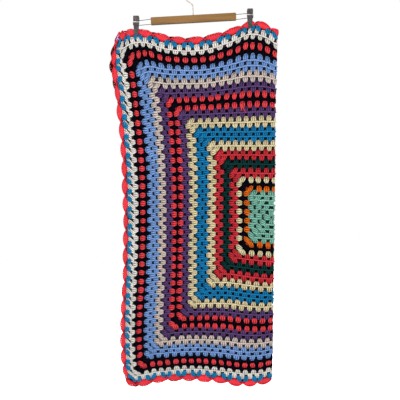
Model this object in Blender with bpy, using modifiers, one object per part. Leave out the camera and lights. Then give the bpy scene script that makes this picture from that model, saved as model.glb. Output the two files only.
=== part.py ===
"""A crocheted granny afghan, folded in half and hung from a wooden clip hanger.

Metres, +Z up. The origin is the point inside the hook's arch that rests on a rail.
-Y is the side that shows, and the folded edge of the afghan is on the +X side.
"""

import math
from collections import namedtuple

import bmesh
import bpy
import numpy as np
from mathutils import Matrix, Vector

MM = 0.001

# The flat afghan: a square worked in rounds from its centre. Its shells stand at
# every fourth round along each side, clockwise, and one more turns each corner.
ROUND = 12.0 * MM
ROUNDS = 40
BODY_HALF = ROUNDS * ROUND
SHELL_WIDTH = 48.0 * MM
SHELL_TIP = 18.0 * MM
SHELL_NOTCH = 9.0 * MM
FIRST_NOTCH = -39.0 * ROUND
LAST_NOTCH = 37.0 * ROUND
AFGHAN_HALF = BODY_HALF + SHELL_TIP
CLOTH_THICK = 4.0 * MM
RIB_RELIEF = 0.55 * MM
SEAM_GAP = 0.35 * MM

# The fold down the right edge.
FOLD_RADIUS = 7.0 * MM

# Where the rounds hang, level by level down the cloth. Lengths in millimetres.
# rounds_up: rounds above the afghan's middle. height: Z. fold_x: X of the folded edge.
# fold_across: where the fold crosses the flat afghan. reach_10 to reach_43: how far the
# cloth reaches from the folded edge that many rounds from the fold.
# back_edge: how far the back layer's free edge stands out past the front one's.
Level = namedtuple(
    "Level",
    "rounds_up height fold_x fold_across reach_10 reach_20 reach_30 reach_37 reach_43 back_edge",
)
LEVELS = (
    Level(-41.5, -1258.0, 249.9, -11.0, 112.5, 233.6, 350.2, 432.1, 486.0, 5.0),
    Level(-35.5, -1186.9, 253.0, -8.1, 116.4, 237.5, 359.9, 439.3, 492.0, -4.0),
    Level(-24.5, -1047.9, 255.0, -2.3, 119.8, 243.0, 364.2, 438.7, 495.5, -5.0),
    Level(-12.0, -883.5, 256.5, 5.0, 120.0, 241.5, 354.0, 431.5, 482.7, -6.0),
    Level(0.0, -720.8, 259.0, 12.3, 118.5, 235.6, 346.4, 423.6, 480.8, -6.0),
    Level(12.0, -554.9, 261.0, 18.3, 115.0, 233.5, 345.7, 424.2, 482.6, -6.0),
    Level(24.5, -368.5, 263.0, 24.3, 117.9, 243.9, 363.3, 437.7, 496.6, -4.0),
    Level(35.5, -204.1, 268.8, 32.5, 117.9, 253.9, 386.5, 462.8, 513.2, 8.0),
    Level(41.5, -131.5, 273.3, 36.0, 119.1, 261.1, 390.7, 481.7, 505.8, 4.0),
)
REACH_AT = (10.0, 20.0, 30.0, 37.0, 43.0)

# How the cloth rises, dips and waves across its width. Lengths in millimetres.
# from_fold: reach from the folded edge. The lifts are upwards at the top edge, a third
# of the way down the lower half, and at the bottom edge. The depths are towards +Y.
Column = namedtuple(
    "Column",
    "from_fold top_lift low_lift foot_lift top_depth waist_depth foot_depth",
)
COLUMNS = (
    Column(0.0, 4.6, -7.9, 12.6, 6.0, 0.0, 8.0),
    Column(34.0, 24.0, -6.3, 5.0, 3.0, -2.0, 2.0),
    Column(86.0, 32.0, -1.6, 3.4, 0.0, -4.0, -10.0),
    Column(151.0, 6.3, 7.0, 11.7, -10.0, -2.0, -6.0),
    Column(216.0, -16.5, 7.6, 16.4, -20.0, 4.0, 8.0),
    Column(285.0, -25.0, 4.7, 17.4, -24.0, 6.0, 12.0),
    Column(353.0, -16.0, 1.6, 14.0, -16.0, 2.0, 4.0),
    Column(414.0, 1.9, 0.0, 1.6, -4.0, -4.0, -10.0),
    Column(461.0, 5.7, 0.0, -4.7, 0.0, -4.0, -12.0),
    Column(530.0, -8.0, 0.0, -3.0, 14.0, 4.0, 6.0),
)
LOW_LIFT_AT = -14.0
LOW_LIFT_REACH = 9.0
CORNER_REACH = 34.0 * MM
FOOT_CORNER_PULL = 11.0 * MM
CORNER_CURL = 9.0 * MM

# The clips' grip on the two layers.
GRIP_BELOW_EDGE = 10.0 * MM
GRIP_FLAT = 15.0 * MM
GRIP_FADE = 55.0 * MM
GRIP_HALF_GAP = 1.75 * MM
GRIP_THICK = 2.6 * MM
GRIP_SQUEEZE = 0.16

# The hanger, level before it tilts about the hook's resting point.
HANGER_TILT = math.radians(3.2)
WIRE_RADIUS = 1.0 * MM
HOOK_WIRE_RADIUS = 1.9 * MM
HOOK_ARCH_RADIUS = 23.0 * MM
HOOK_OPEN_ANGLE = math.radians(-28)
HOOK_SIDE_ANGLE = math.radians(232)
HOOK_STEM_TOP = -56.0 * MM
BAR_TOP = -83.0 * MM
BAR_SIZE = (270.0 * MM, 13.0 * MM, 25.0 * MM)
BAR_ROUNDING = 2.6 * MM
STEM_IN_BAR = 16.0 * MM
BORE_CLEARANCE = 0.3 * MM
WIRE_ABOVE = 7.0 * MM
WIRE_BELOW = 9.0 * MM
WIRE_IN_BAR = 36.0 * MM

# The spring clips, which hang upright on the wires.
CLIP_X = {"left": -175.5 * MM, "right": 183.8 * MM}
CLIP_TOP_Z = {"left": -86.3 * MM, "right": -63.7 * MM}
CLIP_METAL = 1.2 * MM
SPRING_BELOW_TOP = 21.5 * MM
SPRING_RADIUS = 5.5 * MM
SPRING_LENGTH = 15.0 * MM
LOOP_HALF_HEIGHT = SPRING_RADIUS + WIRE_RADIUS + 0.8 * MM
LOOP_PAST_SPRING = WIRE_RADIUS + 1.2 * MM
LOOP_CORNER = 3.0 * MM

# A clip plate from its finger tab down to its jaw. Lengths in millimetres.
# standoff: from the clip's middle plane to the plate's inner face.
PlateRow = namedtuple("PlateRow", "down half_width standoff")
PLATE_ROWS = (
    PlateRow(0.0, 7.4, 10.4),
    PlateRow(1.6, 9.0, 10.0),
    PlateRow(4.0, 9.4, 9.4),
    PlateRow(16.0, 9.4, 6.9),
    PlateRow(21.0, 9.3, 6.2),
    PlateRow(23.5, 8.8, 6.0),
    PlateRow(32.0, 8.2, 4.6),
    PlateRow(39.0, 7.8, 3.4),
    PlateRow(57.0, 6.8, 3.4),
    PlateRow(60.0, 6.0, 3.5),
    PlateRow(61.0, 4.8, 3.6),
)

Finish = namedtuple("Finish", "colour roughness metallic")
FINISHES = {
    "rainbow_yarn": Finish((0.20, 0.13, 0.30), 0.9, 0.0),
    "coral_yarn": Finish((0.82, 0.07, 0.09), 0.9, 0.0),
    "oak": Finish((0.42, 0.25, 0.09), 0.5, 0.0),
    "steel": Finish((0.42, 0.40, 0.39), 0.35, 1.0),
}


def clear_scene():
    """Empties the scene of whatever Blender opened with."""
    for thing in list(bpy.data.objects):
        bpy.data.objects.remove(thing)


def make_material(name):
    """One Principled material from the table of finishes."""
    finish = FINISHES[name]
    material = bpy.data.materials.new(name)
    material.use_nodes = True
    shader = material.node_tree.nodes["Principled BSDF"]
    shader.inputs["Base Color"].default_value = (*finish.colour, 1.0)
    shader.inputs["Roughness"].default_value = finish.roughness
    shader.inputs["Metallic"].default_value = finish.metallic
    return material


def add_object(name, mesh, collection, material):
    """Links a named object made of this mesh or curve."""
    thing = bpy.data.objects.new(name, mesh)
    mesh.materials.append(material)
    collection.objects.link(thing)
    return thing


def eased(share):
    """A smooth step from 0 to 1 as share goes from 0 to 1."""
    share = np.clip(share, 0.0, 1.0)
    return share * share * (3.0 - 2.0 * share)


def smooth_between(at, knots, values):
    """A smooth curve through values at knots, each a number or one for each place."""
    slopes = np.gradient(values, knots, axis=0)
    i = np.clip(np.searchsorted(knots, at) - 1, 0, len(knots) - 2)
    first, last = np.take(knots, i), np.take(knots, i + 1)
    t = np.clip((at - first) / (last - first), 0.0, 1.0)
    rise = t * t * (3.0 - 2.0 * t)

    def pick(table, row):
        return np.take_along_axis(table, row[None], axis=0)[0] if table.ndim > 1 else table[row]

    leave = t * (1.0 - t) ** 2 * (last - first) * pick(slopes, i)
    arrive = t * t * (t - 1.0) * (last - first) * pick(slopes, i + 1)
    return (1.0 - rise) * pick(values, i) + rise * pick(values, i + 1) + leave + arrive


def smooth_curve(at, rows, key, column):
    """Reads one named column of a table as a smooth curve over its key column."""
    knots = np.array([getattr(row, key) for row in rows])
    values = np.array([getattr(row, column) for row in rows])
    return smooth_between(at, knots, values)


def at_level(rounds_up, column):
    """A column of LEVELS at this many rounds above the middle."""
    return smooth_curve(rounds_up, LEVELS, "rounds_up", column)


def at_column(from_fold, column):
    """A column of COLUMNS at this many millimetres from the folded edge."""
    return smooth_curve(from_fold, COLUMNS, "from_fold", column)


def fold_shift(up):
    """Where the fold crosses the flat afghan, across from its centre line."""
    return at_level(up / ROUND, "fold_across") * MM


def hanging_run(inward, rounds_up):
    """How far the cloth reaches from the folded edge at this flat distance from it."""
    inward, rounds_up = np.broadcast_arrays(inward, rounds_up)
    turned = math.pi / 2 * FOLD_RADIUS
    bend = FOLD_RADIUS * (1.0 - np.cos(np.minimum(inward, turned) / FOLD_RADIUS))
    knots = np.array([turned / ROUND, *REACH_AT])
    reaches = [at_level(rounds_up, f"reach_{at:.0f}") * MM for at in REACH_AT]
    reaches = np.stack([np.full(rounds_up.shape, FOLD_RADIUS), *reaches])
    rounds_in = inward / ROUND
    past = np.maximum(rounds_in - knots[-1], 0.0)
    past = past * (reaches[-1] - reaches[-2]) / (knots[-1] - knots[-2])
    return np.where(inward < turned, bend, smooth_between(rounds_in, knots, reaches) + past)


def hung_x(across, up):
    """The X at which a flat point hangs, before the clips draw the cloth together."""
    rounds_up = up / ROUND
    shift = fold_shift(up)
    run = hanging_run(np.abs(across - shift), rounds_up)
    front_edge = hanging_run(AFGHAN_HALF + shift, rounds_up)
    back_edge = hanging_run(AFGHAN_HALF - shift, rounds_up)
    wanted = front_edge + at_level(rounds_up, "back_edge") * MM
    run = np.where(across > shift, run * wanted / back_edge, run)
    return at_level(rounds_up, "fold_x") * MM - run


def grip_hold(across, up):
    """1 where a clip holds the cloth flat and pinched, fading to 0 around it."""
    x = hung_x(across, up)
    below = up - (AFGHAN_HALF - GRIP_BELOW_EDGE)
    hold = np.zeros(np.shape(x))
    for clip_x in CLIP_X.values():
        distance = np.hypot(x - clip_x, below)
        hold = np.maximum(hold, 1.0 - eased((distance - GRIP_FLAT) / GRIP_FADE))
    return hold


def cloth_place(across, up):
    """Where a point of the flat afghan hangs.

    across is - on the front half and + on the back half, and up is + towards the
    hanger, both from the centre. Returns the points on the middle of the thickness.
    """
    across, up = np.broadcast_arrays(np.asarray(across, float), np.asarray(up, float))
    rounds_up = up / ROUND
    shift = fold_shift(up)
    behind = across > shift
    inward = np.abs(across - shift)

    x = hung_x(across, up)
    from_fold = at_level(rounds_up, "fold_x") - x / MM
    topness = eased((rounds_up - 28.0) / 13.0)
    for clip_x in CLIP_X.values():
        away = x - clip_x
        x = x - GRIP_SQUEEZE * away * np.exp(-((away / (60 * MM)) ** 2)) * topness

    low_share = np.exp(-(((rounds_up - LOW_LIFT_AT) / LOW_LIFT_REACH) ** 2))
    z = at_level(rounds_up, "height") * MM
    z = z + at_column(from_fold, "top_lift") * MM * eased((rounds_up - 16.0) / 22.0)
    z = z + at_column(from_fold, "low_lift") * MM * low_share
    z = z + at_column(from_fold, "foot_lift") * MM * eased(-rounds_up / 41.5)

    waist = at_column(from_fold, "waist_depth")
    top_part = (at_column(from_fold, "top_depth") - waist) * eased(rounds_up / 41.5)
    foot_part = (at_column(from_fold, "foot_depth") - waist) * eased(-rounds_up / 41.5)
    hold = grip_hold(across, up)
    y = (waist + top_part + foot_part) * MM * (1.0 - hold)
    half_gap = FOLD_RADIUS + (GRIP_HALF_GAP - FOLD_RADIUS) * hold
    half_gap = half_gap * np.sin(np.minimum(inward / FOLD_RADIUS, math.pi / 2))
    y = y + np.where(behind, half_gap, -half_gap)

    past_side = AFGHAN_HALF - np.abs(across)
    past_end = AFGHAN_HALF - np.abs(up)
    corner = np.exp(-(past_side**2 + past_end**2) / (2 * CORNER_REACH**2))
    pull = np.where(up < 0, FOOT_CORNER_PULL * corner, 0.0)
    x = x + pull
    z = z + pull
    y = y + CORNER_CURL * corner * (1.0 - hold)
    return np.stack([x, y, z], axis=-1)


def cloth_normal(across, up):
    """The cloth's unit normal, which points away from the other layer."""
    step = 0.5 * MM
    along = cloth_place(across + step, up) - cloth_place(across - step, up)
    climb = cloth_place(across, up + step) - cloth_place(across, up - step)
    normal = np.cross(along, climb)
    return normal / np.linalg.norm(normal, axis=-1, keepdims=True)


def cloth_thickness(across, up):
    """The cloth's thickness, which is less where a clip squeezes it."""
    hold = grip_hold(across, up)
    return CLOTH_THICK + (GRIP_THICK - CLOTH_THICK) * hold


def face_points(flat, outward, relief=0.0):
    """Points on the outer or inner face of the cloth over these flat points."""
    across, up = np.array(flat, float).T
    hold = grip_hold(across, up)
    lift = outward * (cloth_thickness(across, up) / 2 + relief * (1.0 - hold))
    return cloth_place(across, up) + cloth_normal(across, up) * lift[:, None]


def fold_stations(up):
    """Flat positions close together round the fold, where the cloth turns back."""
    quarter = FOLD_RADIUS * math.pi / 2
    return float(fold_shift(up)) + quarter * np.linspace(-1.0, 1.0, 5)


def level_side(half, up, steps):
    """Flat positions along the top or bottom side of a ring, from - to +."""
    if half < 30 * MM:
        return np.linspace(-half, half, 13)
    bend = fold_stations(up)
    front = np.linspace(-half, bend[0], steps + 1)
    back = np.linspace(bend[-1], half, steps + 1)
    return np.concatenate([front[:-1], bend, back[1:]])


def ring_steps(half):
    """Into how many steps half of a ring's side is cut, finer towards the border."""
    if half > 465 * MM:
        return ROUNDS // 2
    if half > 425 * MM:
        return ROUNDS // 4
    return max(1, round(half / (62 * MM)))


def ring_sides(half):
    """The four sides of a square ring of the flat afghan, clockwise from top left.

    Each side is a list of (across, up) that starts at a corner and stops short of
    the next one.
    """
    steps = ring_steps(half)
    top = [(a, half) for a in level_side(half, half, steps)]
    bottom = [(a, -half) for a in level_side(half, -half, steps)][::-1]
    heights = np.linspace(half, -half, 2 * steps + 1)
    right = [(half, h) for h in heights]
    left = [(-half, h) for h in heights[::-1]]
    return [side[:-1] for side in (top, right, bottom, left)]


def stitch(inner, outer, inner_at, outer_at):
    """Faces between two rows of corners whose positions run the same way.

    Rows whose corners lie at like places are joined by quads, and others by triangles
    that take the next corner of whichever row lags.
    """
    if len(inner) == len(outer) and np.allclose(inner_at, outer_at, rtol=0.1, atol=0.03):
        pairs = zip(inner, inner[1:], outer, outer[1:])
        return [(a, c, d, b) for a, b, c, d in pairs]
    faces = []
    i = j = 0
    while i < len(inner) - 1 or j < len(outer) - 1:
        inner_next = inner_at[i + 1] if i < len(inner) - 1 else math.inf
        outer_next = outer_at[j + 1] if j < len(outer) - 1 else math.inf
        if outer_next <= inner_next:
            faces.append((inner[i], outer[j], outer[j + 1]))
            j += 1
        else:
            faces.append((inner[i], outer[j], inner[i + 1]))
            i += 1
    return faces


def side_positions(flat_side, corner):
    """Where the corners of a side lie along it, from 0 at its start to 1 at its end."""
    points = np.array([*flat_side, corner], float)
    return list(np.linalg.norm(points - points[0], axis=1) / np.ptp(points, axis=0).max())


def ribbed_face(halves, outward, relief):
    """One face of the afghan's body as concentric rings: points, faces and its rim."""
    flat = [(0.0, 0.0)]
    rings = []
    for half in halves:
        sides = ring_sides(half)
        first = len(flat)
        counts = [len(side) for side in sides]
        for side in sides:
            flat.extend(side)
        rings.append((sides, first, counts))
    crest = np.array([max(abs(a), abs(u)) / ROUND for a, u in flat])
    height = relief * np.cos(2 * math.pi * crest)
    points = face_points(flat, outward, height)

    faces = []
    rim = list(range(rings[0][1], len(flat) if len(rings) == 1 else rings[1][1]))
    faces += [(0, a, b) for a, b in zip(rim, rim[1:] + rim[:1])]
    for (sides_a, first_a, counts_a), (sides_b, first_b, counts_b) in zip(rings, rings[1:]):
        start_a, start_b = first_a, first_b
        for k in range(4):
            row_a = list(range(start_a, start_a + counts_a[k]))
            row_b = list(range(start_b, start_b + counts_b[k]))
            start_a += counts_a[k]
            start_b += counts_b[k]
            row_a.append(first_a if k == 3 else start_a)
            row_b.append(first_b if k == 3 else start_b)
            at_a = side_positions(sides_a[k], sides_a[(k + 1) % 4][0])
            at_b = side_positions(sides_b[k], sides_b[(k + 1) % 4][0])
            faces += stitch(row_a, row_b, at_a, at_b)
        rim = list(range(first_b, start_b))
    return points, faces, rim


def closed_mesh(name, points, faces):
    """A mesh of these faces, all turned to point outwards."""
    mesh = bpy.data.meshes.new(name)
    mesh.from_pydata([tuple(p) for p in points], [], faces)
    shape = bmesh.new()
    shape.from_mesh(mesh)
    bmesh.ops.recalc_face_normals(shape, faces=shape.faces)
    bmesh.ops.triangulate(shape, faces=shape.faces)
    shape.to_mesh(mesh)
    shape.free()
    mesh.shade_smooth()
    mesh.set_sharp_from_angle(angle=math.radians(50))
    return mesh


def build_afghan(collection, material):
    """The afghan's body: one folded sheet, ribbed by its rounds on its outer faces."""
    crests = np.arange(1, 2 * ROUNDS + 1) * ROUND / 2
    plain = np.array([2, 5, 10, 16, 22, 28, 34, ROUNDS]) * ROUND
    outer, outer_faces, outer_rim = ribbed_face(crests, 1.0, RIB_RELIEF)
    inner, inner_faces, inner_rim = ribbed_face(plain, -1.0, 0.0)
    count = len(outer)
    inner_rim = [count + i for i in inner_rim]
    faces = outer_faces + [tuple(count + i for i in face) for face in inner_faces]
    around = zip(outer_rim, outer_rim[1:] + outer_rim[:1], inner_rim, inner_rim[1:] + inner_rim[:1])
    faces += [(a, b, d, c) for a, b, c, d in around]
    mesh = closed_mesh("afghan", np.concatenate([outer, inner]), faces)
    return add_object("afghan", mesh, collection, material)


def shell_height(clockwise):
    """How far the scalloped edging reaches out at this place, clockwise along a side."""
    place = np.asarray(clockwise, float)
    share = np.mod((place - FIRST_NOTCH) / SHELL_WIDTH, 1.0)
    share = np.where(place < FIRST_NOTCH, (FIRST_NOTCH - place) / (24 * MM), share)
    share = np.where(place > LAST_NOTCH, (place - LAST_NOTCH) / (48 * MM), share)
    share = np.where(place > LAST_NOTCH, np.minimum(share, 0.5), share)
    arch = np.sin(math.pi * share) ** 0.7
    return SHELL_NOTCH + (SHELL_TIP - SHELL_NOTCH) * arch


def shell_stations(fold=None):
    """Positions clockwise along one side, six to a shell, with the fold's own."""
    count = round((LAST_NOTCH - FIRST_NOTCH) / SHELL_WIDTH) * 6
    shells = np.linspace(FIRST_NOTCH, LAST_NOTCH, count + 1)
    before = (-BODY_HALF, -BODY_HALF + 6 * MM)
    after = (*(LAST_NOTCH + np.array([8.0, 16.0, 24.0]) * MM), BODY_HALF)
    places = np.concatenate([before, shells, after])
    if fold is None:
        return places
    clear = (places < min(fold) - 2 * MM) | (places > max(fold) + 2 * MM)
    return np.sort(np.concatenate([places[clear], fold]))


def edging_sides():
    """The edging's outer line on each side, clockwise from top left, as flat points."""
    top = shell_stations(fold_stations(BODY_HALF))
    bottom = shell_stations(-fold_stations(-BODY_HALF))
    plain = shell_stations()
    return [
        [(c, BODY_HALF + shell_height(c)) for c in top],
        [(BODY_HALF + shell_height(c), -c) for c in plain],
        [(-c, -BODY_HALF - shell_height(c)) for c in bottom],
        [(-BODY_HALF - shell_height(c), c) for c in plain],
    ]


def corner_shell(corner, start_angle):
    """The shell that turns a corner, as flat points between two sides' ends."""
    points = []
    for share in np.arange(1, 6) / 6:
        angle = start_angle - share * math.pi / 2
        points.append(
            (corner[0] + SHELL_TIP * math.cos(angle), corner[1] + SHELL_TIP * math.sin(angle))
        )
    return points


def build_edging(collection, material):
    """The scalloped border of shells, one strip round all four sides."""
    inner_half = BODY_HALF + SEAM_GAP
    scale = inner_half / BODY_HALF
    inner_sides = [
        [(a * scale, u * scale) for a, u in side] for side in ring_sides(BODY_HALF)
    ]
    outer_sides = edging_sides()
    flat, faces = [], []
    inner_row, outer_row = [], []
    corner_turns = (math.pi / 2, 0.0, -math.pi / 2, math.pi)
    inner_starts = []
    for side in inner_sides:
        inner_starts.append(len(flat))
        flat.extend(side)
    inner_count = len(flat)
    for k, outer_side in enumerate(outer_sides):
        following = inner_sides[(k + 1) % 4][0]
        end = inner_starts[(k + 1) % 4]
        row = list(range(inner_starts[k], inner_starts[k] + len(inner_sides[k]))) + [end]
        first = len(flat)
        flat.extend(outer_side)
        fringe = list(range(first, len(flat)))
        inner_at = [float(np.dot(p, _side_direction(k))) for p in [*inner_sides[k], following]]
        outer_at = [float(np.dot(p, _side_direction(k))) for p in outer_side]
        faces += stitch(row, fringe, inner_at, outer_at)
        turn = corner_shell(following, corner_turns[k])
        turn_first = len(flat)
        flat.extend(turn)
        turn_row = [fringe[-1], *range(turn_first, len(flat))]
        faces += [(end, a, b) for a, b in zip(turn_row, turn_row[1:])]
        inner_row += row[:-1]
        outer_row += fringe + turn_row[1:]
        outer_sides[k] = (turn_row[-1], end, first)
    for k in range(4):
        last, end, _ = outer_sides[k]
        faces.append((end, last, outer_sides[(k + 1) % 4][2]))

    outer_face = face_points(flat, 1.0)
    inner_face = face_points(flat, -1.0)
    count = len(flat)
    every = list(faces) + [tuple(count + i for i in face) for face in faces]
    for loop in (inner_row, outer_row):
        every += [
            (a, b, b + count, a + count) for a, b in zip(loop, loop[1:] + loop[:1])
        ]
    assert inner_count == len(inner_row)
    mesh = closed_mesh("edging", np.concatenate([outer_face, inner_face]), every)
    return add_object("edging", mesh, collection, material)


def _side_direction(k):
    """Which way round the afghan side k runs, as a flat direction."""
    return ((1, 0), (0, -1), (-1, 0), (0, 1))[k]


def wire_curve(name, points, radius, collection, material):
    """A round wire through these points, with capped ends."""
    curve = bpy.data.curves.new(name, "CURVE")
    curve.dimensions = "3D"
    curve.bevel_depth = radius
    curve.bevel_resolution = 2
    curve.use_fill_caps = True
    spline = curve.splines.new("POLY")
    spline.points.add(len(points) - 1)
    for slot, point in zip(spline.points, points):
        slot.co = (*point, 1.0)
    return add_object(name, curve, collection, material)


def tilted(x, z):
    """A point of the level hanger, tilted about the hook's resting point."""
    cos, sin = math.cos(HANGER_TILT), math.sin(HANGER_TILT)
    return (x * cos - z * sin, 0.0, x * sin + z * cos)


def build_hook(collection, material):
    """The wire hook: an arch open to the right, bent back in to its straight stem."""
    middle = HOOK_WIRE_RADIUS - HOOK_ARCH_RADIUS
    points = []
    for angle in np.linspace(HOOK_OPEN_ANGLE, HOOK_SIDE_ANGLE, 27):
        points.append((HOOK_ARCH_RADIUS * math.cos(angle), middle + HOOK_ARCH_RADIUS * math.sin(angle)))
    leave = np.array(points[-1])
    heading = np.array((-math.sin(HOOK_SIDE_ANGLE), math.cos(HOOK_SIDE_ANGLE)))
    arrive = np.array((0.0, HOOK_STEM_TOP))
    pull = 8 * MM
    corners = (leave, leave + heading * pull, arrive + np.array((0.0, pull)), arrive)
    for t in np.arange(1, 8) / 7:
        weights = ((1 - t) ** 3, 3 * t * (1 - t) ** 2, 3 * t * t * (1 - t), t**3)
        points.append(tuple(sum(w * c for w, c in zip(weights, corners))))
    points.append((0.0, BAR_TOP - STEM_IN_BAR))
    return wire_curve("hook", [tilted(x, z) for x, z in points], HOOK_WIRE_RADIUS, collection, material)


def cutter_cylinder(name, start, end, radius, collection):
    """A cylinder between two points, kept out of the part and used only to cut."""
    start, end = Vector(start), Vector(end)
    shape = bmesh.new()
    bmesh.ops.create_cone(
        shape, cap_ends=True, segments=16, radius1=radius, radius2=radius,
        depth=(end - start).length,
    )
    mesh = bpy.data.meshes.new(name)
    shape.to_mesh(mesh)
    shape.free()
    cutter = bpy.data.objects.new(name, mesh)
    turn = (end - start).to_track_quat("Z", "Y").to_matrix().to_4x4()
    cutter.matrix_world = Matrix.Translation((start + end) / 2) @ turn
    cutter.hide_render = True
    cutter.display_type = "WIRE"
    collection.objects.link(cutter)
    return cutter


def build_bar(collection, cutters, material):
    """The rounded wooden bar, bored for the hook's stem and the clip wires' legs."""
    shape = bmesh.new()
    bmesh.ops.create_cube(shape, size=1.0)
    bmesh.ops.scale(shape, vec=BAR_SIZE, verts=shape.verts)
    mesh = bpy.data.meshes.new("hanger_bar")
    shape.to_mesh(mesh)
    shape.free()
    bar = add_object("hanger_bar", mesh, collection, material)
    centre_z = BAR_TOP - BAR_SIZE[2] / 2
    bar.location = tilted(0.0, centre_z)
    bar.rotation_euler = (0.0, -HANGER_TILT, 0.0)
    rounding = bar.modifiers.new("rounding", "BEVEL")
    rounding.width = BAR_ROUNDING
    rounding.segments = 3
    stem_bore = cutter_cylinder(
        "stem_bore", tilted(0.0, BAR_TOP + 5 * MM),
        tilted(0.0, BAR_TOP - STEM_IN_BAR - BORE_CLEARANCE),
        HOOK_WIRE_RADIUS + BORE_CLEARANCE, cutters,
    )
    bores = [stem_bore]
    for sign, side in ((-1, "left"), (1, "right")):
        for offset, level in ((WIRE_ABOVE, "upper"), (-WIRE_BELOW, "lower")):
            outside = sign * (BAR_SIZE[0] / 2 + 5 * MM)
            inside = sign * (BAR_SIZE[0] / 2 - WIRE_IN_BAR - BORE_CLEARANCE)
            bores.append(
                cutter_cylinder(
                    f"{side}_{level}_bore", tilted(outside, centre_z + offset),
                    tilted(inside, centre_z + offset), WIRE_RADIUS + BORE_CLEARANCE, cutters,
                )
            )
    for bore in bores:
        cut = bar.modifiers.new(bore.name, "BOOLEAN")
        cut.operation = "DIFFERENCE"
        cut.object = bore
    return bar


def build_clip_wire(side, collection, material):
    """A wire loop that slides in the bar's end and passes round a clip's spring."""
    sign = -1 if side == "left" else 1
    centre_z = BAR_TOP - BAR_SIZE[2] / 2
    inside = sign * (BAR_SIZE[0] / 2 - WIRE_IN_BAR)
    mouth = sign * (BAR_SIZE[0] / 2 + 2 * MM)
    spring_z = CLIP_TOP_Z[side] - SPRING_BELOW_TOP
    near_x = CLIP_X[side] - sign * SPRING_LENGTH / 2
    far_x = CLIP_X[side] + sign * (SPRING_LENGTH / 2 + LOOP_PAST_SPRING)
    upper = [
        tilted(inside, centre_z + WIRE_ABOVE),
        tilted(mouth, centre_z + WIRE_ABOVE),
        (near_x - sign * 3 * MM, 0.0, spring_z + LOOP_HALF_HEIGHT),
    ]
    for angle in np.linspace(0.0, math.pi / 2, 4):
        out = LOOP_CORNER * (1.0 - math.sin(angle))
        down = LOOP_CORNER * (1.0 - math.cos(angle))
        upper.append((far_x - sign * out, 0.0, spring_z + LOOP_HALF_HEIGHT - down))
    lower = [
        (x, 0.0, 2 * spring_z - z) for x, _, z in reversed(upper[2:])
    ]
    lower += [
        tilted(mouth, centre_z - WIRE_BELOW),
        tilted(inside, centre_z - WIRE_BELOW),
    ]
    return wire_curve(f"clip_wire_{side}", upper + lower, WIRE_RADIUS, collection, material)


def build_clip_plate(side, face, collection, material):
    """One stamped plate of a clip: finger tab, waist over the spring, and jaw."""
    outward = -1 if face == "front" else 1
    shape = bmesh.new()
    bmesh.ops.create_grid(shape, x_segments=4, y_segments=len(PLATE_ROWS) - 1, size=1.0)
    for vertex in shape.verts:
        row = PLATE_ROWS[round((1.0 - vertex.co.y) / 2 * (len(PLATE_ROWS) - 1))]
        share = vertex.co.x
        vertex.co = Vector((
            CLIP_X[side] + share * row.half_width * MM,
            outward * (row.standoff * MM + CLIP_METAL / 2),
            CLIP_TOP_Z[side] - row.down * MM,
        ))
    mesh = bpy.data.meshes.new(f"clip_{side}_{face}")
    shape.to_mesh(mesh)
    shape.free()
    plate = add_object(mesh.name, mesh, collection, material)
    metal = plate.modifiers.new("metal", "SOLIDIFY")
    metal.thickness = CLIP_METAL
    metal.offset = 0.0
    return plate


def build_clip_spring(side, collection, material):
    """The spring barrel that a clip's plates pivot on, inside its wire loop."""
    shape = bmesh.new()
    bmesh.ops.create_cone(
        shape, cap_ends=True, segments=20, radius1=SPRING_RADIUS, radius2=SPRING_RADIUS,
        depth=SPRING_LENGTH, matrix=Matrix.Rotation(math.pi / 2, 4, "Y"),
    )
    mesh = bpy.data.meshes.new(f"clip_{side}_spring")
    shape.to_mesh(mesh)
    shape.free()
    mesh.shade_smooth()
    mesh.set_sharp_from_angle(angle=math.radians(40))
    spring = add_object(mesh.name, mesh, collection, material)
    spring.location = (CLIP_X[side], 0.0, CLIP_TOP_Z[side] - SPRING_BELOW_TOP)
    return spring


def build():
    """Builds every piece into its own collection."""
    clear_scene()
    hung = bpy.data.collections.new("hung_afghan")
    cutters = bpy.data.collections.new("cutters")
    bpy.context.scene.collection.children.link(hung)
    bpy.context.scene.collection.children.link(cutters)
    material = {name: make_material(name) for name in FINISHES}
    build_afghan(hung, material["rainbow_yarn"])
    build_edging(hung, material["coral_yarn"])
    build_bar(hung, cutters, material["oak"])
    build_hook(hung, material["steel"])
    for side in CLIP_X:
        build_clip_wire(side, hung, material["steel"])
        build_clip_spring(side, hung, material["steel"])
        for face in ("front", "back"):
            build_clip_plate(side, face, hung, material["steel"])


build()
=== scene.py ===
"""Studio picture of a hung granny afghan: yarn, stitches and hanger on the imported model.

The afghan is worked stitch by stitch on its flat pattern, a square of rounds, and every
point of the yarn is then carried to where the folded cloth hangs. Lengths are in metres.
"""

from __future__ import annotations

import logging
import math
from dataclasses import dataclass, field
from enum import Enum
from typing import Dict, List, NamedTuple, Sequence, Tuple

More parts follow.
